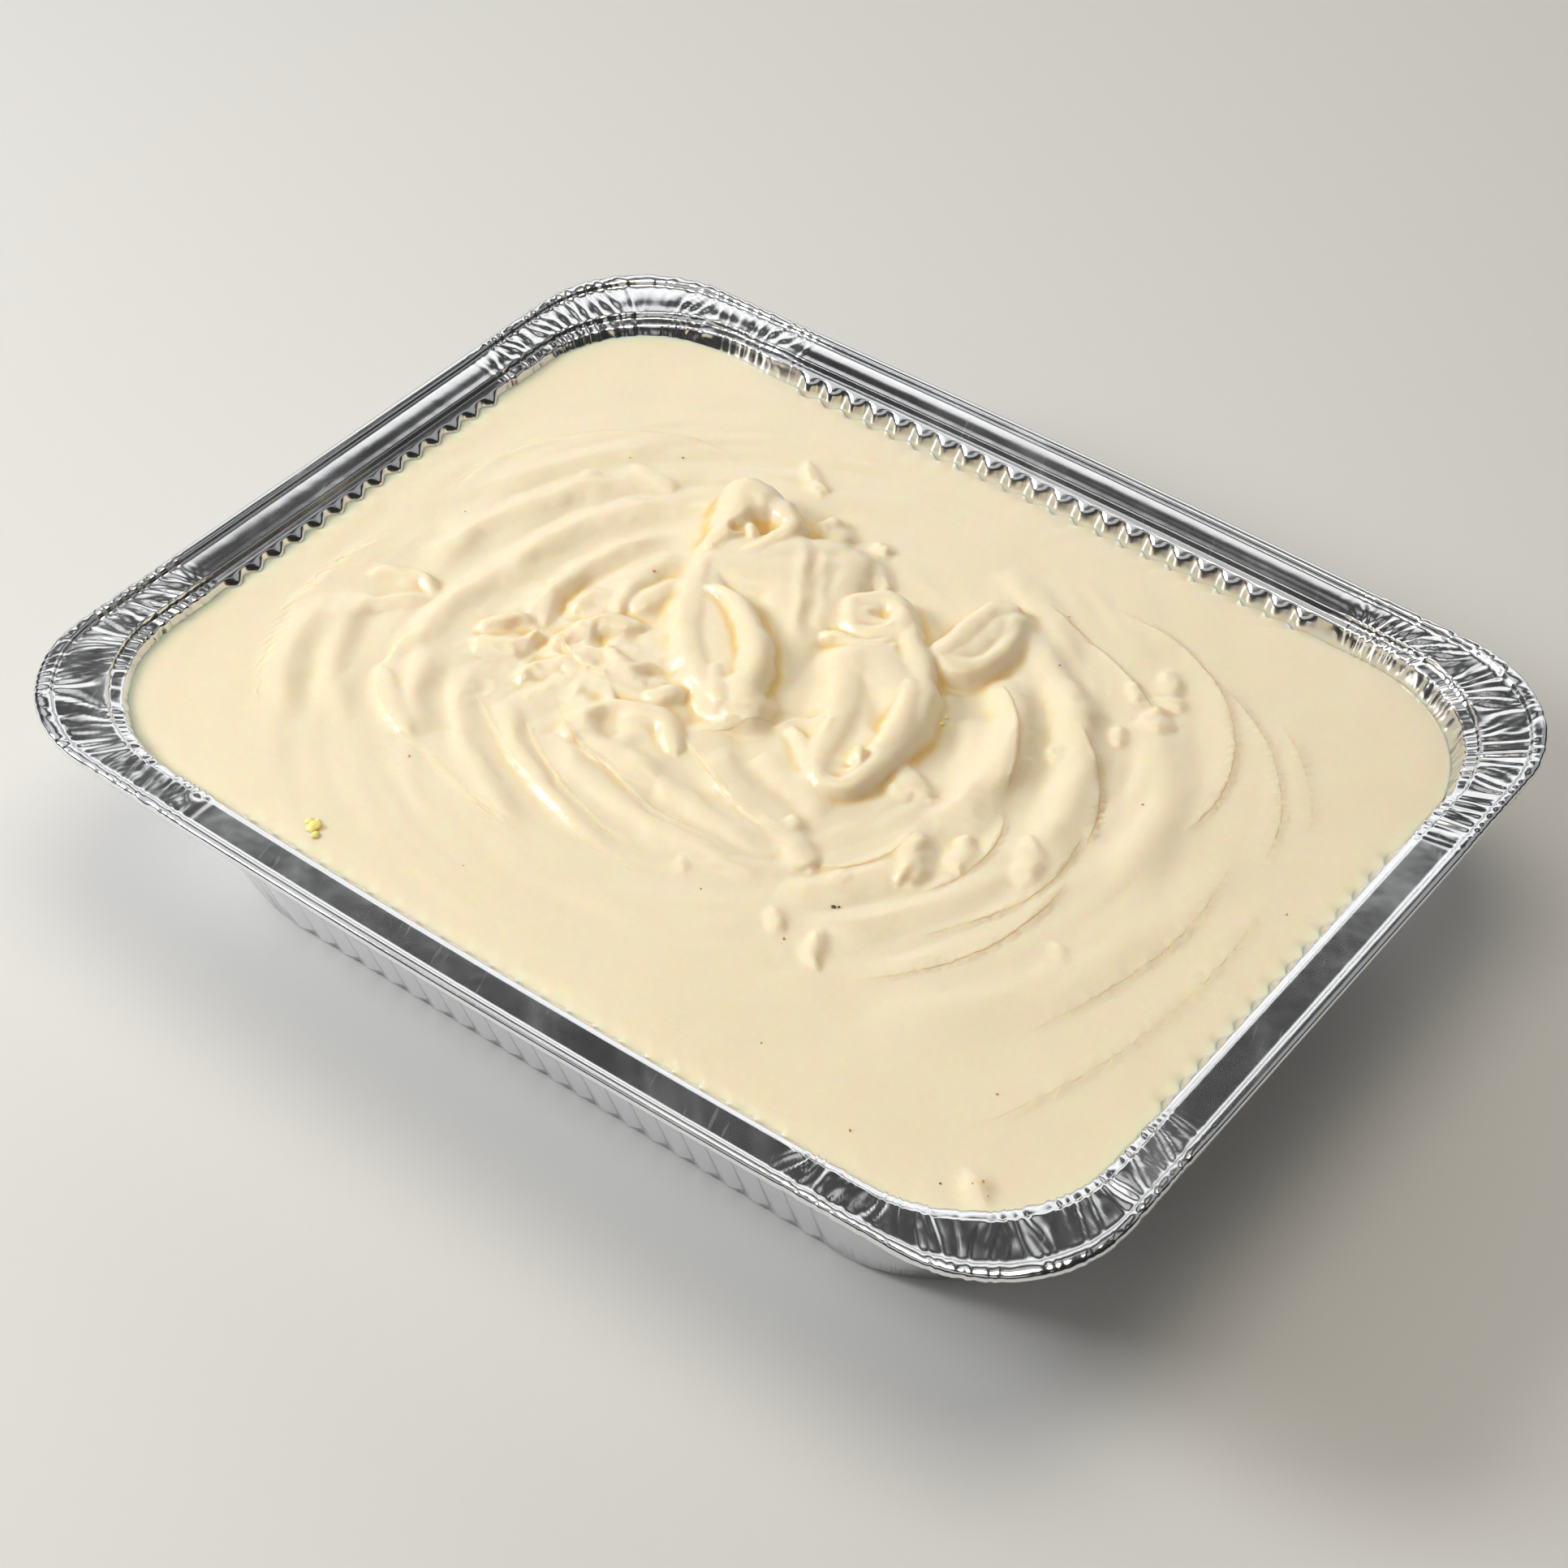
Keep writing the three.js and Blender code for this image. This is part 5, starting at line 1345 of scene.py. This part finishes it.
def pebble_tree():
    board, given = new_tree("pebbles_on_points", "Points", ("Unevenness", "Seed"))
    ball = board.add("GeometryNodeMeshIcoSphere", inputs={"Radius": 0.5, "Subdivisions": 3})["Mesh"]
    place = board.split(board.value("GeometryNodeInputPosition"))
    lumpy = board.noise(board.join(*(axis * LUMPS_ACROSS for axis in place)), 1.0) - 0.5
    swell = 1 + Value(board.tree, given["Unevenness"]) * lumpy
    swollen = board.join(*(axis * swell * flat for axis, flat in zip(place, PEBBLE_SHAPE)))
    uneven = board.add("GeometryNodeSetPosition", inputs={"Geometry": ball, "Position": swollen})[0]
    length = board.add("GeometryNodeInputNamedAttribute", {"data_type": "FLOAT"}, {"Name": "length"})[0]
    turn = board.value(
        "FunctionNodeRandomValue", 0, {"data_type": "FLOAT_VECTOR"},
        {"Min": (-0.3, -0.3, 0.0), "Max": (0.3, 0.3, 6.28), "Seed": given["Seed"]},
    )
    placed = board.add(
        "GeometryNodeInstanceOnPoints",
        inputs={"Points": given["Points"], "Instance": uneven, "Rotation": turn, "Scale": length},
    )[0]
    return end_tree(board, placed, given["Material"])


def bit_finish(kind, first, second):
    def sockets(board, place):
        patch = board.noise(place, 1500.0, 3.0, 0.6)
        return {
            "Base Color": board.mix_colours(patch.smooth(0.35, 0.65), (*first, 1), (*second, 1)),
            "Roughness": 0.35 + 0.25 * patch, "Normal": board.bump(0.08 * patch),
            "Subsurface Weight": 0.3, "Subsurface Radius": (1.0, 0.5, 0.2), "Subsurface Scale": 0.001,
        }
    return finish(kind, sockets)


PEBBLES = pebble_tree()
bits = []
for number, (kind, (first, second, places)) in enumerate(BITS.items()):
    settings = {"Unevenness": 0.9, "Seed": 3.0 + number, "Material": bit_finish(kind, first, second)}
    bits.append(plain_piece(kind, points_on_mash(kind, places), PEBBLES, settings))
print({piece.name: len(piece.data.polygons) for piece in bits}, "faces")

# %% [markdown]
# ## Pieces onto the frame
# The two large pieces ride on the model's one body, and the CAD nodes that they
# remake are hidden. The crumbs ride along too.

# %% Ride, and hide what is remade
for piece, node, slot_name in ((tray, "foil_tray", "foil"), (mash, "mashed_potato", "mash")):
    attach(piece, "root")
    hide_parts(node)
for piece in bits:
    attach(piece, "root")

# %% [markdown]
# ## Floor, light and camera
# A plain pale floor, large enough to fill the view on all sides.

# %% The floor
FLOOR_REACH = 3.0  # metres, from the middle to each edge


def pale_floor():
    mesh = bpy.data.meshes.new("floor")
    corners = [(x * FLOOR_REACH, y * FLOOR_REACH, 0) for x, y in ((-1, -1), (1, -1), (1, 1), (-1, 1))]
    mesh.from_pydata(corners, [], [(0, 1, 2, 3)])
    floor = bpy.data.objects.new("floor", mesh)
    bpy.context.scene.collection.objects.link(floor)
    material = bpy.data.materials.new("pale_floor")
    material.use_nodes = True
    shader = material.node_tree.nodes["Principled BSDF"]
    shader.inputs["Base Color"].default_value = (0.72, 0.71, 0.69, 1)
    shader.inputs["Roughness"].default_value = 0.7
    mesh.materials.append(material)
    return floor


pale_floor()
print("the floor lies at height 0")

# %% [markdown]
# Metal shows its room, so the light is a set of soft panels in a dim room. A
# small bright one on the left models the folds, and a warm one overhead fills
# the mash. The rest are there for the foil. Low behind are a narrow panel, which
# the rim's flat band mirrors at the back and on the left, and a long one below
# it, which the folds' flanks pick up. A strip high behind lights the ledge. Wide
# dim panels on the left, on the right and in front keep the flutes from going
# black. Colours are shown as they are, by the Standard view transform.

# %% The lights
PANELS = [  # name, azimuth, elevation, distance, width, height, watts, and a colour where it isn't white
    ("key_from_left", -55, 34, 1.5, 0.42, 0.42, 15.1, (0.97, 0.985, 1.0)),
    ("low_behind", 209, 35.5, 1.6, 1.5, 0.29, 1.3),
    ("row_behind", 212, 21, 1.6, 2.6, 0.60, 4.8),
    ("high_behind", 214, 62, 1.6, 0.8, 0.30, 0.42),
    ("wide_left", -85, 54, 1.6, 1.2, 0.9, 2.2),
    ("low_right", 150, 38, 1.6, 1.2, 0.8, 1.0),
    ("wide_front", 15, 42, 1.6, 2.4, 0.7, 2.6),
    ("overhead", 30, 88, 1.3, 0.75, 0.75, 6.7, (1.0, 0.93, 0.79)),
]
ROOM_LIGHT = 0.02


def panel(name, azimuth, elevation, distance, width, height, watts, colour=(1, 1, 1)):
    """A soft panel that faces the tray; azimuth 0 is towards -Y, 90 towards +X."""
    a, e = math.radians(azimuth), math.radians(elevation)
    way = Vector((math.sin(a) * math.cos(e), -math.cos(a) * math.cos(e), math.sin(e)))
    light = bpy.data.lights.new(name, "AREA")
    light.shape, light.size, light.size_y = "RECTANGLE", width, height
    light.energy, light.color = watts, colour
    lamp = bpy.data.objects.new(name, light)
    bpy.context.scene.collection.objects.link(lamp)
    lamp.location = way * distance
    lamp.rotation_euler = way.to_track_quat("Z", "Y").to_euler()
    lamp.visible_camera = False
    return lamp


lamps = [panel(*row) for row in PANELS]
world = bpy.data.worlds.new("dim_room")
bpy.context.scene.world = world
world.use_nodes = True
background = world.node_tree.nodes["Background"]
background.inputs["Color"].default_value = (1, 1, 1, 1)
background.inputs["Strength"].default_value = ROOM_LIGHT
bpy.context.scene.view_settings.view_transform = "Standard"
print([lamp.name for lamp in lamps])

# %% [markdown]
# The camera stands in front, to the right and above, tipped slightly. Its place
# is given by two angles, a distance and the point that it looks at, because
# those are easier to judge than coordinates. The lens is a short telephoto one.

# %% The camera
CAMERA_AZIMUTH, CAMERA_ELEVATION, CAMERA_ROLL = 34.84, 42.87, 3.0
CAMERA_DISTANCE = 848.6 * MM
LENS, SENSOR_WIDTH = 78.28, 36
LOOK_AT = Vector((16.45, -26.90, 63.4)) * MM


def stand_camera():
    a, e = math.radians(CAMERA_AZIMUTH), math.radians(CAMERA_ELEVATION)
    back = Vector((math.sin(a) * math.cos(e), -math.cos(a) * math.cos(e), math.sin(e)))
    right = (-back).cross(Vector((0, 0, 1))).normalized()
    up = right.cross(-back)
    turn = math.radians(CAMERA_ROLL)
    across = right * math.cos(turn) + up * math.sin(turn)
    upright = up * math.cos(turn) - right * math.sin(turn)
    camera = bpy.data.objects.new("camera", bpy.data.cameras.new("camera"))
    bpy.context.scene.collection.objects.link(camera)
    camera.matrix_world = Matrix.Translation(LOOK_AT + back * CAMERA_DISTANCE) @ Matrix(
        (across, upright, back)
    ).transposed().to_4x4()
    camera.data.lens, camera.data.sensor_width = LENS, SENSOR_WIDTH
    bpy.context.scene.camera = camera
    return camera


print("camera at", [round(v, 3) for v in stand_camera().location], "m")

# %% [markdown] The dressed model should fill the same
# box as the CAD model.
